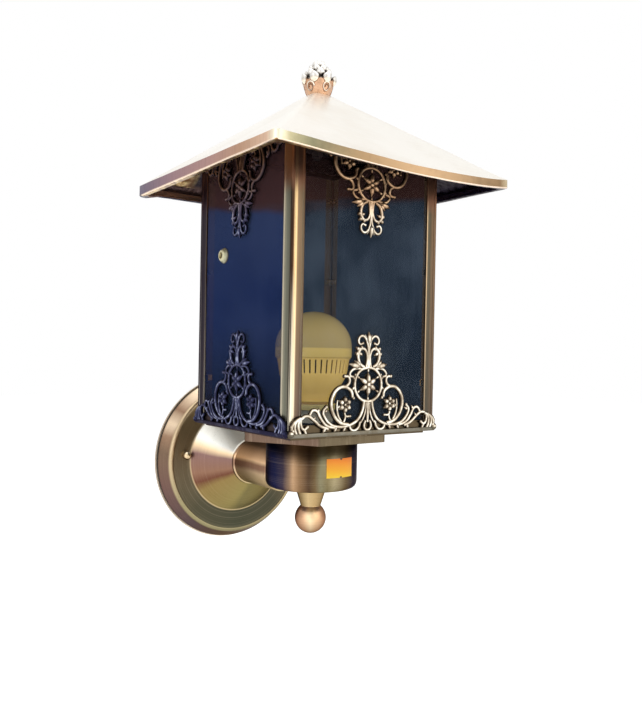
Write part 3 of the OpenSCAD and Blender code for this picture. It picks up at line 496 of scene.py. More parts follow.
# painted reflection bands and highlights round each turned piece, over the metal's own tone, from the back (or
# from below) at 0 over the front (or the top) at 0.5
drumReflections = ((0.0, (96, 70, 52)), (0.08, (150, 112, 80)), (0.13, (70, 54, 50)), (0.16, (22, 26, 54)),
             (0.26, (28, 32, 64)), (0.3, (60, 52, 66)), (0.325, (132, 106, 84)), (0.34, (174, 140, 106)),
             (0.36, (134, 104, 74)), (0.393, (80, 60, 44)), (0.415, (110, 90, 62)), (0.434, (132, 126, 98)),
             (0.46, (120, 108, 76)), (0.485, (150, 138, 106)), (0.53, (96, 80, 56)), (0.575, (44, 44, 60)),
             (0.64, (30, 34, 62)), (0.7, (84, 68, 56)), (0.8, (150, 116, 84)), (0.9, (176, 142, 104)),
             (1.0, (96, 70, 52)))
cupReflections = ((0.0, (214, 196, 150)), (0.06, (204, 182, 138)), (0.15, (196, 170, 130)), (0.21, (200, 172, 138)),
            (0.24, (146, 112, 92)), (0.27, (150, 114, 92)), (0.295, (250, 210, 166)), (0.325, (216, 174, 136)),
            (0.365, (176, 138, 106)), (0.42, (94, 74, 60)), (0.5, (104, 84, 64)), (0.65, (150, 120, 90)),
            (0.75, (120, 96, 74)), (0.9, (150, 130, 92)), (1.0, (214, 196, 150)))
coneReflections = ((0.0, (126, 116, 76)), (0.03, (146, 132, 82)), (0.15, (140, 118, 72)), (0.18, (110, 70, 54)),
             (0.21, (140, 104, 84)), (0.27, (128, 98, 92)), (0.3, (232, 204, 164)), (0.33, (255, 254, 246)),
             (0.46, (255, 252, 240)), (0.52, (206, 180, 148)), (0.62, (150, 124, 96)), (0.72, (118, 98, 76)),
             (0.85, (160, 140, 92)), (0.93, (140, 128, 84)), (1.0, (126, 116, 76)))
ringReflections = ((0.0, (66, 66, 52)), (0.12, (76, 72, 56)), (0.25, (114, 100, 78)), (0.33, (132, 116, 86)),
             (0.42, (166, 142, 104)), (0.55, (200, 174, 136)), (0.7, (118, 98, 72)), (0.88, (68, 66, 52)),
             (1.0, (66, 66, 52)))
beadReflections = ((0.0, (128, 120, 90)), (0.15, (150, 140, 104)), (0.28, (206, 182, 146)), (0.42, (216, 194, 158)),
             (0.6, (176, 150, 116)), (1.0, (128, 120, 90)))
shoulderReflections = ((0.0, (96, 78, 62)), (0.1, (84, 70, 72)), (0.2, (110, 84, 76)), (0.27, (118, 96, 78)),
                 (0.3, (148, 118, 94)), (0.33, (226, 202, 172)), (0.36, (136, 106, 84)), (0.42, (236, 216, 186)),
                 (0.5, (190, 156, 120)), (0.65, (140, 112, 86)), (0.8, (104, 84, 70)), (1.0, (96, 78, 62)))
knobReflections = ((0.0, (90, 68, 54)), (0.14, (74, 54, 48)), (0.24, (150, 108, 84)), (0.33, (208, 166, 130)),
             (0.4, (252, 226, 182)), (0.46, (222, 184, 142)), (0.55, (168, 124, 94)), (0.65, (112, 82, 66)),
             (0.8, (92, 68, 52)), (1.0, (90, 68, 54)))
neckReflections = ((0.0, (92, 76, 54)), (0.15, (86, 68, 50)), (0.28, (138, 116, 80)), (0.37, (196, 170, 124)),
             (0.46, (180, 152, 106)), (0.6, (122, 100, 68)), (0.8, (94, 76, 54)), (1.0, (92, 76, 54)))

# painted light and shade of the sheet and turned metals: the tone of each side by which way it faces
plateSideLight = {"front": (130, 120, 95), "left": (146, 124, 112), "right": (112, 98, 78), "back": (104, 88, 70),
              "up": (206, 186, 152), "down": (84, 70, 54)}
supportSideLight = {**plateSideLight, "front": (104, 92, 72), "left": (112, 90, 76)}
zincSideLight = {"front": (214, 198, 176), "up": (240, 230, 214), "left": (196, 180, 164)}
steelSideLight = {"front": (150, 150, 150), "up": (190, 190, 190), "down": (90, 90, 92)}
copperSideLight = {"front": (84, 72, 54), "left": (66, 58, 60), "up": (126, 108, 80)}
nickelSideLight = {"front": (214, 190, 150), "left": (222, 196, 158), "up": (255, 240, 210), "down": (120, 92, 58),
               "right": (160, 130, 92)}

finishes = {
    "zinc_plate": agedMetal("zincPlate", zincSideLight, rough=0.4),
    "foam": plain("foam", (16, 14, 14), 0.95, depth=0.0008, grain=900),
    "steel": agedMetal("steel", steelSideLight, rough=0.42),
    "antique_copper": agedMetal("antiqueCopper", copperSideLight, shade=0.5),
    "nickel_brass": agedMetal("nickelBrass", nickelSideLight, rough=0.24, stains=0.2),
    "brushed_copper": agedMetal("brushedCopper", plateSideLight, brush=(1500, 0, 1500), turned="Z", turns=drumReflections,
                                turnShare=1.0),
    "label_paper": labelPaper(),
    "roof_sheet": roofMetal(),
    "porcelain": plain("porcelain", (222, 218, 200), 0.2),
    "black_plastic": plain("blackPlastic", (30, 28, 28), 0.45),
    "cream_plastic": plain("creamPlastic", (246, 226, 150), 0.42),
    # the lampholder's brass is darker underneath, as painted shade
    "socket_brass": agedMetal("socketBrass", {"front": (196, 160, 96), "down": (110, 84, 50)}, rough=0.3),
    "bulb_glass": creamGlobe(),
    "brown_wire": plain("brownWire", (92, 54, 34), 0.5),
    "blue_wire": plain("blueWire", (40, 70, 140), 0.5),
}
# the castings' painted shade and highlights, from the faces that turn away to those that face out
silverLightStops = ((0.0, (26, 22, 20)), (0.52, (60, 50, 42)), (0.8, (134, 118, 98)), (0.93, (208, 196, 176)),
               (1.0, (238, 236, 224)))
leftShadeStops = ((0.0, (10, 11, 20)), (0.55, (24, 26, 46)), (0.85, (50, 52, 80)), (0.96, (88, 92, 122)),
              (1.0, (160, 166, 192)))
underRoofShadeStops = ((0.0, (30, 22, 17)), (0.5, (74, 54, 38)), (0.8, (134, 104, 78)), (0.94, (184, 148, 114)),
              (1.0, (224, 190, 152)))
leftUnderRoofShadeStops = ((0.0, (14, 11, 14)), (0.5, (38, 29, 34)), (0.8, (70, 54, 56)), (0.94, (104, 84, 82)),
             (1.0, (140, 118, 112)))
castFinishes = {
    "front": castMetal("castFront", "Y", silverLightStops, underRoofShadeStops, casting["shade"], (90, 84, 70)),
    "back": castMetal("castBack", "Y", silverLightStops, underRoofShadeStops, casting["shade"]),
    "left": castMetal("castLeft", "X", leftShadeStops, leftUnderRoofShadeStops, casting["leftShade"], (30, 28, 52)),
    "right": castMetal("castRight", "X", silverLightStops, underRoofShadeStops, casting["shade"]),
}
finishes["cast_ornament"] = castMetal("castUpright", "Z", silverLightStops)
glassOut = tintedGlass("glassOut", False)
glassIn = tintedGlass("glassIn", True)


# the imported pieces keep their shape: their edges are softened and their finish is set
def dressNode(name, material, edge=0.25, segments=2):
    node = frame["nodes"][name]
    node.data.materials.clear()
    node.data.materials.append(material)
    for face in node.data.polygons:
        face.material_index = 0
        face.use_smooth = True
    weld = node.modifiers.new("weld", "WELD")
    weld.merge_threshold = 0.00001
    bevel = node.modifiers.new("soft edge", "BEVEL")
    bevel.width = edge * mm
    bevel.segments = segments
    bevel.limit_method = "ANGLE"
    bevel.angle_limit = math.radians(35)
    node.modifiers.new("even shading", "WEIGHTED_NORMAL").keep_sharp = True


# the whole of a shell faces away from its middle, also where it is an open one
def turnOutwards(mesh, middle):
    middle = Vector(middle)
    ways = [face.normal.dot(face.calc_center_median() - middle) * face.calc_area() for face in mesh.faces]
    if sum(ways) < 0:
        bmesh.ops.reverse_faces(mesh, faces=mesh.faces)


# a bmesh in metres made a piece of the lantern
def finishPiece(mesh, name, slotName, nodes, material=None, crease=40, middle=None):
    bmesh.ops.remove_doubles(mesh, verts=mesh.verts, dist=0.000002)
    bmesh.ops.recalc_face_normals(mesh, faces=mesh.faces)
    if middle:
        turnOutwards(mesh, middle)
    data = bpy.data.meshes.new(name)
    mesh.to_mesh(data)
    mesh.free()
    for face in data.polygons:
        face.use_smooth = True
    data.set_sharp_from_angle(angle=math.radians(crease))
    data.materials.append(material or finishes[slotName])
    piece = bpy.data.objects.new(name, data)
    bpy.context.scene.collection.objects.link(piece)
    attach(piece, "root")
    if nodes:
        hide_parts(*nodes)
    return piece


# a mesh in mm round the lantern's axis, put in its place and turned into metres
def placeMesh(mesh):
    bmesh.ops.translate(mesh, vec=(0, -reach, 0), verts=mesh.verts)
    bmesh.ops.scale(mesh, vec=(mm, mm, mm), verts=mesh.verts)


def thicken(piece, thickness):
    sheet = piece.modifiers.new("sheet", "SOLIDIFY")
    sheet.thickness = thickness * mm
    sheet.offset = -1


# a profile of (radius, height, corner radius) with its corners rounded
def roundedProfile(points, steps=5):
    line = []
    for index, point in enumerate(points):
        corner = point[2] if len(point) > 2 else 0
        here = Vector(point[:2])
        if not corner:
            line.append(here)
            continue
        before, after = Vector(points[index - 1][:2]), Vector(points[index + 1][:2])
        start = here + (before - here).normalized() * corner
        end = here + (after - here).normalized() * corner
        for step in range(steps + 1):
            t = step / steps
            line.append(start * (1 - t) ** 2 + here * 2 * t * (1 - t) + end * t ** 2)
    return line


# points of (radius, height) spun round the lantern's axis, or (radius, depth) round the arm's axis
def spinProfile(points, axis="Z", steps=96):
    mesh = bmesh.new()
    line = roundedProfile(points)
    if axis == "Z":
        verts = [mesh.verts.new((r * mm, -reach * mm, z * mm)) for r, z in line]
        centre, around = (0, -reach * mm, 0), (0, 0, 1)
    else:
        verts = [mesh.verts.new((r * mm, -depth * mm, 0)) for r, depth in line]
        centre, around = (0, 0, 0), (0, 1, 0)
    spinLine(mesh, verts, centre, around, steps)
    return mesh


def spinLine(mesh, verts, centre, around, steps):
    edges = [mesh.edges.new(pair) for pair in zip(verts, verts[1:])]
    bmesh.ops.spin(mesh, geom=verts + edges, cent=centre, axis=around, angle=2 * math.pi, steps=steps,
                   use_merge=True)


print("stage: packed pieces")
slots = {part["node"]: part["material_slot"] for part in frame["record"]["subparts"]}
replaced = ("roof", "roof_finial", "canopy", "arm_cup", "drum", "bottom_finial", "bulb", "glass_button")
dressedLater = ("shade_ring",)
for name, slotName in slots.items():
    if name in replaced + dressedLater or "pane" in name or "casting" in name:
        continue
    edge, segments = (0.45, 3) if "post" in name else (0.25, 2)
    dressNode(name, finishes[slotName], edge, segments)
pressedPlate = agedMetal("pressedPlate", supportSideLight, brush=(500, 500, 40))
frame["nodes"]["support_plate"].data.materials[0] = pressedPlate
postMetal = agedMetal("postMetal", {}, brush=(700, 700, 12), streaks=0.2, stains=0.2, shade=0.25,
                      paint=postLightPaint)
for corner in ("front_left", "front_right", "back_left", "back_right"):
    frame["nodes"]["post_" + corner].data.materials[0] = postMetal

outwards = {"front": (0, -1, 0), "back": (0, 1, 0), "left": (-1, 0, 0), "right": (1, 0, 0)}
for name, direction in outwards.items():
    pane = frame["nodes"]["pane_" + name]
    pane.data.materials.clear()
    pane.data.materials.append(glassOut)
    pane.data.materials.append(glassIn)
    for face in pane.data.polygons:
        face.use_smooth = False
        face.material_index = 1 if face.normal.dot(Vector(direction)) < -0.5 else 0
    pane.visible_shadow = False  # the studio light reaches the bulb through the glass
    pane.visible_diffuse = False


print("stage: castings")


# a round strand through its points, in mm, that goes from its first width to its last
def addStrand(curve, points, first, last=None):
    last = first if last is None else last
    spline = curve.splines.new("BEZIER")
    spline.bezier_points.add(len(points) - 1)
    for index, (knot, (x, z)) in enumerate(zip(spline.bezier_points, points)):
        knot.co = (x, 0, z)
        knot.handle_left_type = knot.handle_right_type = "AUTO"
        knot.radius = (first + (last - first) * index / (len(points) - 1)) / 2


# a short leaf, thickest at a third of its length
def addLeaf(curve, start, end, width):
    (x0, z0), (x1, z1) = start, end
    spline = curve.splines.new("BEZIER")
    spline.bezier_points.add(3)
    for knot, (share, size) in zip(spline.bezier_points, ((0, 0.35), (0.33, 1), (0.66, 0.85), (1, 0.12))):
        knot.co = (x0 + (x1 - x0) * share, 0, z0 + (z1 - z0) * share)
        knot.handle_left_type = knot.handle_right_type = "AUTO"
        knot.radius = size * width / 2


# six leaves round a wheel, between two radii
def addSpokes(curve, x, z, start, end, width):
    for turn in range(6):
        angle = math.radians(30 + 60 * turn)
        way = Vector((math.cos(angle), math.sin(angle)))
        addLeaf(curve, Vector((x, z)) + way * start, Vector((x, z)) + way * end, width)


# one half of the openwork: scrolls that grow from the rail, a wheel, and a palmette above it
def drawOpenwork(curve):
    wheel = casting["wheelHeight"]
    ring = [(12.8 * math.sin(a), wheel + 12.8 * math.cos(a)) for a in [math.pi * k / 6 for k in range(7)]]
    addStrand(curve, ring, 2.0)
    addSpokes(curve, 0, wheel, 0.5, 9.0, 3.4)
    addSpokes(curve, 0, wheel, 12.4, 8.4, 1.5)
    addSpokes(curve, 21.4, 22.6, 1.2, 6.6, 3.2)
    addLeaf(curve, (0, 66.5), (0, 76.6), 3.4)
    addLeaf(curve, (0.4, 66.5), (3.4, 74.4), 1.7)
    strands = (
        (((0.3, 49.5), (0.5, 56), (0.4, 63), (1.4, 68.2), (3.6, 72), (7, 73.2), (9.6, 70.6), (8.4, 67.2),
          (5.6, 67.8)), 1.9, 1.5),
        (((2.4, 49.6), (1.4, 54.6), (1.7, 60.2), (4.6, 63.8), (8.2, 63.4)), 1.7, 2),
        (((8.2, 63.8), (10, 60.4), (9.8, 56), (8.2, 52.6), (4.2, 50.2)), 2.5, 2),
        (((6.4, 48.6), (11.4, 49.2), (16, 47.4), (17.4, 44.2), (14.4, 42.9)), 1.9, 1.5),
        (((24.6, 35.6), (20.2, 36.4), (17.6, 39.6), (18.4, 42.8), (22.2, 43.4)), 2.1, 1.7),
        (((14.9, 28), (15.4, 31.6), (18.6, 34.6), (23.4, 35.8), (28.6, 34.2), (32.4, 30.2), (34.2, 24.6),
          (33, 18.2), (29.6, 12.8), (24.4, 9.2), (18.4, 8)), 2.2, 2.5),
        (((21.4, 20), (20.8, 14.6), (16.4, 14.2)), 1.5, 1.3),
        (((20.8, 15), (21.6, 11.4), (23.4, 8.8)), 1.4, 1.4),
        (((24.6, 10), (27.6, 15), (28.8, 21.4), (28.4, 25.6)), 1.7, 1.2),
        (((0.3, 25.4), (0.3, 17), (0.3, 9.4)), 1.7, 1.3),
        (((1.6, 25.2), (2.2, 17.6), (4.4, 11.8), (6.4, 9.2)), 1.4, 1.2),
        (((3.6, 25.4), (5.2, 18), (8.8, 12), (14.2, 8.6), (20.8, 7), (28.2, 6.9), (34.6, 9), (39, 13.2),
          (41, 18.2), (38.4, 21.4)), 2.1, 1.8),
        (((2.4, 9.8), (3.3, 6.4), (1.6, 3.8), (-0.4, 3.4)), 1.7, 1.9),
        (((7.2, 9.6), (8.4, 6), (11.8, 3.6), (15.6, 4.6), (17.2, 8.2)), 1.8, 1.6),
        (((30.6, 6.2), (38.2, 8.2), (43.6, 14), (46.6, 18.6), (50.4, 19.2), (52.6, 16.4)), 2, 1.8),
        (((36.4, 5.6), (43.4, 8), (49.4, 12.6), (54.8, 15.4), (59.4, 13.8), (60.2, 9.4), (57.4, 6),
          (54.4, 7.8)), 2, 1.8),
        (((57.6, 6.4), (56.4, 4.4), (55.4, 2.4)), 1.9, 1.7),
        (((58.2, 14.6), (61.8, 12), (62.4, 7.2), (60.6, 2.6)), 2.3, 2.1),
        (((60.6, 14), (64.6, 11.4), (65.4, 7), (63.8, 2.6)), 2.3, 2.1),
        (((63, 12.6), (66.8, 10), (68, 6.4), (66.8, 2.6)), 2.3, 2.1))
    for points, first, last in strands:
        addStrand(curve, points, first, last)
    leaves = (
        ((6.4, 62.4), (7, 66.8), 2.4), ((8.6, 62.6), (12.2, 65), 2.6), ((9.6, 59), (13, 61), 2.6),
        ((10, 61), (5.4, 58.8), 2.2), ((7.4, 50.6), (13.4, 55), 3), ((7.6, 50.2), (18.2, 52.4), 3.6),
        ((14.2, 43), (12.2, 40.6), 1.8), ((11.4, 45.4), (13.2, 43.4), 1.6), ((17.2, 44), (17.8, 41.6), 1.6),
        ((14.6, 28.6), (12.6, 26), 2.2), ((12.4, 36), (15.6, 33), 1.8), ((26.2, 22.6), (28.4, 19.6), 1.6),
        ((20.6, 7.4), (23, 2.4), 2), ((28.6, 7.4), (31.4, 2.4), 2), ((38.6, 7.6), (41.2, 2.4), 2.3),
        ((40.4, 17.6), (36.4, 19.4), 1.8), ((46, 17.4), (44.2, 20.8), 1.8), ((50, 11.6), (47.4, 15), 1.6))
    for start, end, width in leaves:
        addLeaf(curve, start, end, width)


# the round ends of the scrolls: place and radius
buds = ((5.6, 67.8, 1.3), (14.4, 42.9, 1.3), (22.2, 43.4, 1.6), (16.4, 14.2, 1.2), (28.4, 25.6, 1),
        (38.4, 21.4, 1.6), (6.4, 9.6, 1.4), (2.2, 10, 1.2), (52.6, 16.4, 1.5), (54.4, 7.8, 1.5), (67.2, 5.2, 2.1),
        (68.2, 8.2, 1.7), (68.4, 3.2, 2.9), (8.2, 63.6, 1.5), (21.4, 22.6, 1.5), (24.4, 9, 1.5))


def meshFromCurve(curve):
    holder = bpy.data.objects.new("strands", curve)
    bpy.context.scene.collection.objects.link(holder)
    shape = bpy.data.meshes.new_from_object(holder.evaluated_get(bpy.context.evaluated_depsgraph_get()))
    mesh = bmesh.new()
    mesh.from_mesh(shape)
    bpy.data.objects.remove(holder)
    bpy.data.curves.remove(curve)
    bpy.data.meshes.remove(shape)
    return mesh


def openworkMesh():
    curve = bpy.data.curves.new("openwork", "CURVE")
    curve.dimensions = "3D"
    curve.bevel_depth = casting["weight"]
    curve.bevel_resolution = 2
    curve.resolution_u = 5
    curve.use_fill_caps = True
    drawOpenwork(curve)
    mesh = meshFromCurve(curve)
    for x, z, radius in buds:
        bmesh.ops.create_icosphere(mesh, subdivisions=2, radius=radius, matrix=Matrix.Translation((x, 0, z)))
    bmesh.ops.mirror(mesh, geom=mesh.verts[:] + mesh.edges[:] + mesh.faces[:], axis="X", merge_dist=-1)
    hub = Matrix.Translation((0, 0, casting["wheelHeight"]))
    bmesh.ops.create_icosphere(mesh, subdivisions=3, radius=2.3, matrix=hub)
    half, height = casting["rail"]
    rail = bmesh.ops.create_cube(mesh, size=1)["verts"]
    bmesh.ops.scale(mesh, vec=(2 * half, 2.2, height), verts=rail)
    bmesh.ops.translate(mesh, vec=(0, 0, height / 2), verts=rail)
    edges = [edge for edge in mesh.edges if edge.verts[0] in rail and edge.verts[1] in rail]
    bmesh.ops.bevel(mesh, geom=edges, offset=0.7, segments=3, profile=0.5, affect="EDGES", material=-1)
    bmesh.ops.scale(mesh, vec=(138.6 / 139, casting["depth"], 1), verts=mesh.verts)
    return mesh


pattern = openworkMesh()
for level in ("bottom", "top"):
    for turn, side in enumerate(("front", "left", "back", "right")):
        mesh = pattern.copy()
        if level == "top":
            bmesh.ops.rotate(mesh, cent=(0, 0, 0), matrix=Matrix.Rotation(math.pi, 3, "Y"), verts=mesh.verts)
        height = casting["low"] if level == "bottom" else casting["high"]
        quarterTurns = Matrix.Rotation(-math.pi / 2 * turn, 3, "Z")
        bmesh.ops.translate(mesh, vec=(0, -casting["face"], height), verts=mesh.verts)
        bmesh.ops.rotate(mesh, cent=(0, 0, 0), matrix=quarterTurns, verts=mesh.verts)
        placeMesh(mesh)
        name = level + "Casting" + side.capitalize()
        finishPiece(mesh, name, "cast_ornament", [f"{level}_casting_{side}"], castFinishes[side], crease=50)
pattern.free()


print("stage: roof")


def roofMesh():
    mesh = bmesh.new()
    half, eave, foot = roof["half"], roof["eave"], roof["eave"] - roof["band"]
    bmesh.ops.create_grid(mesh, x_segments=1, y_segments=1, size=roof["topHalf"])
    bmesh.ops.translate(mesh, vec=(0, 0, roof["top"]), verts=mesh.verts)
    rings = ((half, eave), (half, foot + 0.8), (half - 0.3, foot + 0.2), (half - 1.2, foot),
             (half - roof["hem"], foot + 0.5))
    edges = mesh.edges[:]
    lastHalf = roof["topHalf"]
    hips = []
    for nextHalf, height in rings:
        grown = bmesh.ops.extrude_edge_only(mesh, edges=edges)["geom"]
        verts = [item for item in grown if isinstance(item, bmesh.types.BMVert)]
        edges = [item for item in grown if isinstance(item, bmesh.types.BMEdge)
                 and all(vert in verts for vert in item.verts)]
        bmesh.ops.scale(mesh, vec=(nextHalf / lastHalf, nextHalf / lastHalf, 1), verts=verts)
        bmesh.ops.translate(mesh, vec=(0, 0, height - verts[0].co.z), verts=verts)
        lastHalf = nextHalf
        hips += [edge for vert in verts for edge in vert.link_edges if edge not in edges]
    bmesh.ops.bevel(mesh, geom=list(set(hips)), offset=roof["corner"], segments=4, profile=0.5, affect="EDGES",
                    material=-1)
    longEdges = [edge for edge in mesh.edges if edge.calc_length() > 9]
    bmesh.ops.subdivide_edges(mesh, edges=longEdges, cuts=19, use_grid_fill=True)
    bendRoof(mesh)
    placeMesh(mesh)
    return mesh


# the front slope sags in its middle, the sheet is a little dented, and the left band droops towards the wall
def bendRoof(mesh):
    half = roof["half"]
    for vert in mesh.verts:
        x, y, z = vert.co
        near = max(0, min(1, (-y - roof["crease"]) / (half - roof["crease"])))
        vert.co.z -= roof["sag"] * near ** 1.3 * (1 - (x / half) ** 2) * (1 + 0.45 * x / half)
        vert.co.z += noise.noise(Vector((x, y, z)) * 0.03) * roof["dents"]
        if x < -100 and z < roof["eave"] - 3:
            vert.co.z -= roof["droop"] * (y + half) / (2 * half)


piece = finishPiece(roofMesh(), "roofSheet", "roof_sheet", ["roof"], crease=32, middle=(0, -reach * mm, 0.2))
thicken(piece, roof["sheet"])


print("stage: roof finial")


# a cupped leaf of the finial
def leafMesh(mesh, radius, height, size, turn, lean):
    made = bmesh.ops.create_icosphere(mesh, subdivisions=3, radius=1)["verts"]
    for vert in made:
        x, y, z = vert.co
        taper = 1 - 0.4 * max(z, 0) ** 2
        fold = -0.28 * (1 - abs(y)) + 0.3 * z * abs(z)
        vert.co = Vector((x * 0.62 * taper - fold * 0.6, y * 1.0 * taper, z * 1.12)) * size
    bmesh.ops.rotate(mesh, cent=(0, 0, 0), matrix=Matrix.Rotation(math.radians(lean), 3, "Y"), verts=made)
    bmesh.ops.translate(mesh, vec=(radius, 0, height), verts=made)
    bmesh.ops.rotate(mesh, cent=(0, 0, 0), matrix=Matrix.Rotation(math.radians(turn), 3, "Z"), verts=made)


# a spiral scroll drawn flat, then wrapped on the cup
def scrollMesh(turn):
    curve = bpy.data.curves.new("scroll", "CURVE")
    curve.dimensions = "3D"
    curve.bevel_depth = 1
    curve.bevel_resolution = 3
    curve.use_fill_caps = True
    turns = [0.7 * k for k in range(15)]
    spiral = [(math.cos(a) * (4.1 - 0.3 * a), 5.8 + math.sin(a) * (4.2 - 0.3 * a)) for a in turns]
    addStrand(curve, spiral, 2.0, 1.3)
    mesh = meshFromCurve(curve)
    for vert in mesh.verts:
        x, y, z = vert.co
        radius = finial["footRadius"] + 0.6 + (z / finial["cup"]) * 3.2 - 0.25 - y
        angle = turn + x / finial["wide"]
        vert.co = (radius * math.sin(angle), -radius * math.cos(angle), z)
    return mesh


def finialMesh():
    mesh = bmesh.new()
    foot, cup, wide = finial["footRadius"], finial["cup"], finial["wide"]
    line = roundedProfile([(0, 0), (foot - 1, 0, 0.5), (foot, 1), (foot + 1.6, 4), (wide - 0.7, 8),
                           (wide, cup, 0.8), (8.6, cup + 4.6, 1), (5, finial["height"] * 0.78),
                           (0, finial["height"] * 0.92)])
    verts = [mesh.verts.new((r, 0, z)) for r, z in line]
    spinLine(mesh, verts, (0, 0, 0), (0, 0, 1), 56)
    for tier in range(finial["tiers"]):
        radius, height = 11.6 - 2.7 * tier, cup + 1.6 + 4.2 * tier
        size, lean = 4.2 - 0.45 * tier, 34 - 6 * tier
        for k in range(finial["leaves"]):
            turn = 360 / finial["leaves"] * (k + 0.5 * (tier % 2)) - 90
            leafMesh(mesh, radius, height, size, turn, lean)
    leafMesh(mesh, 0.6, finial["height"] - 3.4, 2.9, -90, 4)
    for k in range(finial["scrolls"]):
        scroll = scrollMesh(math.radians(finial["scrollTurn"] + 360 / finial["scrolls"] * k))
        data = bpy.data.meshes.new("scroll")
        scroll.to_mesh(data)
        scroll.free()
        mesh.from_mesh(data)
        bpy.data.meshes.remove(data)
    bmesh.ops.translate(mesh, vec=(0, 0, finial["foot"]), verts=mesh.verts)
    placeMesh(mesh)
    return mesh


finishPiece(finialMesh(), "roofFinialCast", "cast_ornament", ["roof_finial"], finialMetal(), crease=60)


print("stage: turned pieces")
canopy = [(75.9, 4.5), (75.7, 5.6, 0.5), (70.2, 14.2, 1.5), (69.6, 16.6, 1.0), (67.4, 17.0, 0.9),
          (65.8, 16.0, 1.0), (51.0, 16.0, 1.6), (49.0, 16.6, 0.8), (20.4, 42.2, 1.2), (20.6, 43.6, 0.5),
          (18.4, 43.8), (5.4, 43.0)]
spunCanopy = agedMetal("spunCanopy", {}, brush=(900, 0, 900), turned="Y", streaks=0.17, stains=0.3,
                       paint=canopyPaint)
piece = finishPiece(spinProfile(canopy, "Y", 128), "canopyShell", "antique_copper", ["canopy"], spunCanopy,
                    crease=30, middle=(0, 0, 0))
thicken(piece, 0.8)

cup = [(5.4, 43.2), (18.6, 43.2), (20.6, 43.4, 0.4), (20.6, 44.6, 0.5), (19.5, 45.4, 0.6), (19.5, 99, 3.6),
       (5.4, 99)]
armCup = agedMetal("armCup", {"front": (130, 104, 76)}, brush=(1200, 0, 1200), turned="Y", turns=cupReflections,
                   turnShare=0.95)
piece = finishPiece(spinProfile(cup, "Y", 96), "armCupShell", "brushed_copper", ["arm_cup"], armCup,
                    middle=(0, -0.07, 0))
thicken(piece, 1.0)

drum = {"low": -8.5, "radius": 37.5, "height": 45.5, "corner": 6.5}
line = [(5.4, drum["low"]), (drum["radius"], drum["low"], drum["corner"]),
        (drum["radius"], drum["low"] + drum["height"])]
piece = finishPiece(spinProfile(line, "Z", 128), "drumShell", "brushed_copper", ["drum"],
                    middle=(0, -reach * mm, 0.015))
thicken(piece, 1.2)

knob = {"radius": 12.8, "middle": -34.2, "waist": 8.2, "waistHeight": -24.2, "neck": 12.6, "top": drum["low"]}
arc = [(knob["radius"] * math.sin(a), knob["middle"] - knob["radius"] * math.cos(a))
       for a in [math.radians(2.44 * 2.3 * k) for k in range(25)]]
line = [(0, knob["middle"] - knob["radius"])] + arc[1:]
line += [(knob["waist"], knob["waistHeight"], 0.5), (knob["neck"], knob["top"] - 1.7, 0.8),
         (knob["radius"], knob["top"]), (0, knob["top"])]
turnedKnob = agedMetal("turnedKnob", {}, brush=(900, 0, 900), turned="Z", streaks=0.15, stains=0.2,
                       paint=knobPaint)
finishPiece(spinProfile(line, "Z", 72), "bottomFinialTurned", "antique_copper", ["bottom_finial"], turnedKnob,
            crease=50)


print("stage: bulb")


def bulbMesh():
    radius, wide, rise = bulb["radius"], bulb["wide"], bulb["top"] - bulb["wide"]
    quarter = [math.pi / 2 * k / 18 for k in range(19)]
    globe = [(radius * math.cos(a), wide + rise * math.sin(a)) for a in quarter]
    body = [(0, 34.2), (13.1, 34.2, 0.6), (13.1, 57.4, 0.4), (15.8, 59.2, 0.4), (17.4, 60.4, 0.8), (19.6, 68, 2),
            (27.6, 82.5), (27.8, bulb["slotLow"]), (29.6, bulb["slotHigh"]), (31.0, 97.2, 0.4), (31.4, 97.6, 0.3),
            (31.5, 104.6)]
    mesh = spinProfile(body + globe[1:-1] + [(0, bulb["top"])], "Z", 3 * bulb["slots"])
    bmesh.ops.recalc_face_normals(mesh, faces=mesh.faces)
    low, high = bulb["slotLow"] * mm, bulb["slotHigh"] * mm
    sunk = []
    for face in mesh.faces:
        centre = face.calc_center_median()
        turn = math.degrees(math.atan2(centre.x, -(centre.y + reach * mm))) % 360
        if low < centre.z < high and int(turn * bulb["slots"] / 120) % 3 == 1:
            sunk.append(face)
    bmesh.ops.inset_individual(mesh, faces=sunk, thickness=0.0002, depth=0)
    bmesh.ops.inset_individual(mesh, faces=sunk, thickness=0.0001, depth=-bulb["slotDepth"] * mm)
    return mesh


finishPiece(bulbMesh(), "bulbGlobe", "bulb_glass", ["bulb"], crease=45)


print("stage: glass button")
button = {"y": -109, "z": 176.9, "face": -68.0, "radius": 6.2, "height": 4}
buttonStops = ((0.0, (24, 20, 16)), (0.26, (44, 36, 26)), (0.36, (150, 136, 92)), (0.5, (214, 206, 166)),
               (0.75, (196, 192, 158)), (0.9, (150, 148, 124)), (1.0, (110, 104, 90)))


def buttonMesh():
    r, h = button["radius"], button["height"]
    line = roundedProfile([(0, 0), (r, 0, 0.2), (r, 0.8, 0.4), (r * 0.86, 1.6, 0.5), (r * 0.7, h - 0.6, 0.8),
                           (r * 0.44, h, 0.6), (r * 0.34, h * 0.55, 0.4), (0, h * 0.45)])
    mesh = bmesh.new()
    verts = [mesh.verts.new((-height, radius, 0)) for radius, height in line]
    spinLine(mesh, verts, (0, 0, 0), (1, 0, 0), 48)
    bmesh.ops.translate(mesh, vec=(button["face"], button["y"], button["z"]), verts=mesh.verts)
    bmesh.ops.scale(mesh, vec=(mm, mm, mm), verts=mesh.verts)
    return mesh


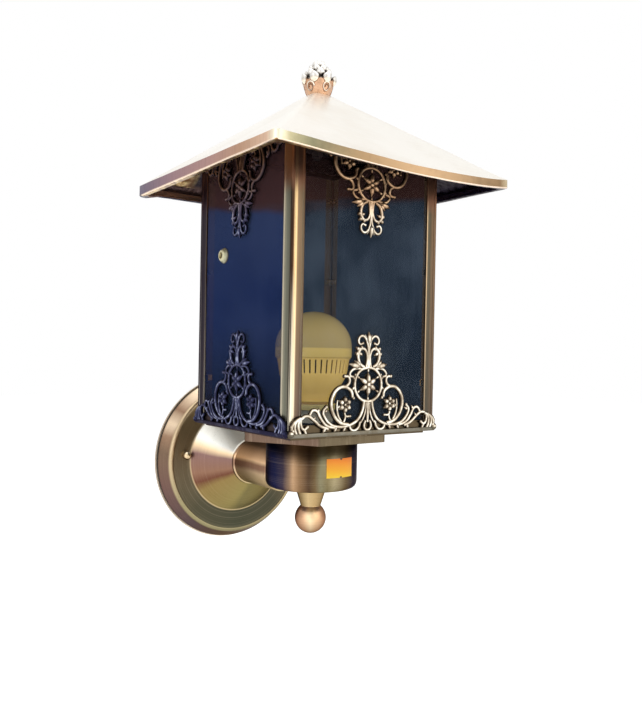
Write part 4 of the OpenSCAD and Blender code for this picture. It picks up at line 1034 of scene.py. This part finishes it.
def buttonFinish():
    finish = Finish("buttonFinish")
    x, y, z = finish.parts(finish.place)
    across, rise = y - button["y"] * mm, z - button["z"] * mm
    radius = (across * across + rise * rise) ** 0.5 * (1 / mm)
    grain = finish.noise(600, detail=3)
    share = (radius * (1 / button["radius"]) + (grain - 0.5) * 0.08).clamped()
    return finish.surface(Base_Color=finish.ramp(share, *buttonStops), Metallic=0.5,
                          Roughness=(0.36 + (grain - 0.5) * 0.2).clamped())


finishPiece(buttonMesh(), "glassButtonDish", slots["glass_button"], ["glass_button"], buttonFinish())
dressNode("shade_ring", finishes["cream_plastic"], 0.4)


print("stage: floor and light")
studio = {"floorHeight": -0.30, "floorHalf": 6.0, "ambient": 0.6, "key": 30.0, "top": 18.0, "fill": 14.0,
          "floorGlow": 0.55}


# the floor shows white where nothing shades it, and keeps the lantern's shadow
def floorPaint():
    finish = Finish("floorPaint")
    grain = finish.noise(60, detail=3)
    colour = finish.mix((0.90, 0.90, 0.90), (0.93, 0.93, 0.93), grain)
    glow = finish.mix((0, 0, 0), (1, 1, 1), finish.seen())
    return finish.surface(Base_Color=colour, Roughness=0.9, Specular_IOR_Level=0.2, Emission_Color=glow,
                          Emission_Strength=studio["floorGlow"])


mesh = bmesh.new()
bmesh.ops.create_grid(mesh, x_segments=1, y_segments=1, size=studio["floorHalf"])
bmesh.ops.translate(mesh, vec=(0, 0, studio["floorHeight"]), verts=mesh.verts)
floorData = bpy.data.meshes.new("floor")
mesh.to_mesh(floorData)
mesh.free()
floorData.materials.append(floorPaint())
floor = bpy.data.objects.new("floor", floorData)
bpy.context.scene.collection.objects.link(floor)


# white behind the lantern, and a plain soft light from all round that is a little cooler from above
def studioWorld():
    world = bpy.data.worlds.new("studio")
    bpy.context.scene.world = world
    finish = Finish("studio", world)
    height = finish.parts(finish.add("ShaderNodeTexCoord", out="Generated"))[2]
    sky = finish.mix((1.0, 0.98, 0.96), (0.95, 0.98, 1.0), height)  # as it varies, it is sampled as a lamp
    ambient = finish.add("ShaderNodeBackground", None, {"Color": sky, "Strength": studio["ambient"]})
    white = finish.add("ShaderNodeBackground", None, {"Color": (1, 1, 1)})
    blend = finish.add("ShaderNodeMixShader", None, {0: finish.seen(), 1: ambient, 2: white})
    finish.output("ShaderNodeOutputWorld", blend)


studioWorld()


def softLight(name, place, aim, size, power, colour=(1, 1, 1)):
    data = bpy.data.lights.new(name, "AREA")
    data.energy = power
    data.size = size
    data.color = colour
    lamp = bpy.data.objects.new(name, data)
    lamp.location = place
    lamp.rotation_euler = (Vector(aim) - Vector(place)).to_track_quat("-Z", "Y").to_euler()
    bpy.context.scene.collection.objects.link(lamp)


softLight("key", (1.0, -2.4, 1.2), (0, -0.14, 0.12), 3.0, studio["key"], (1, 0.97, 0.92))
softLight("top", (-0.4, -0.3, 2.4), (0, -0.14, 0.2), 2.4, studio["top"])
softLight("fill", (-2.4, -1.0, 0.5), (0, -0.14, 0.1), 2.4, studio["fill"], (0.92, 0.95, 1))
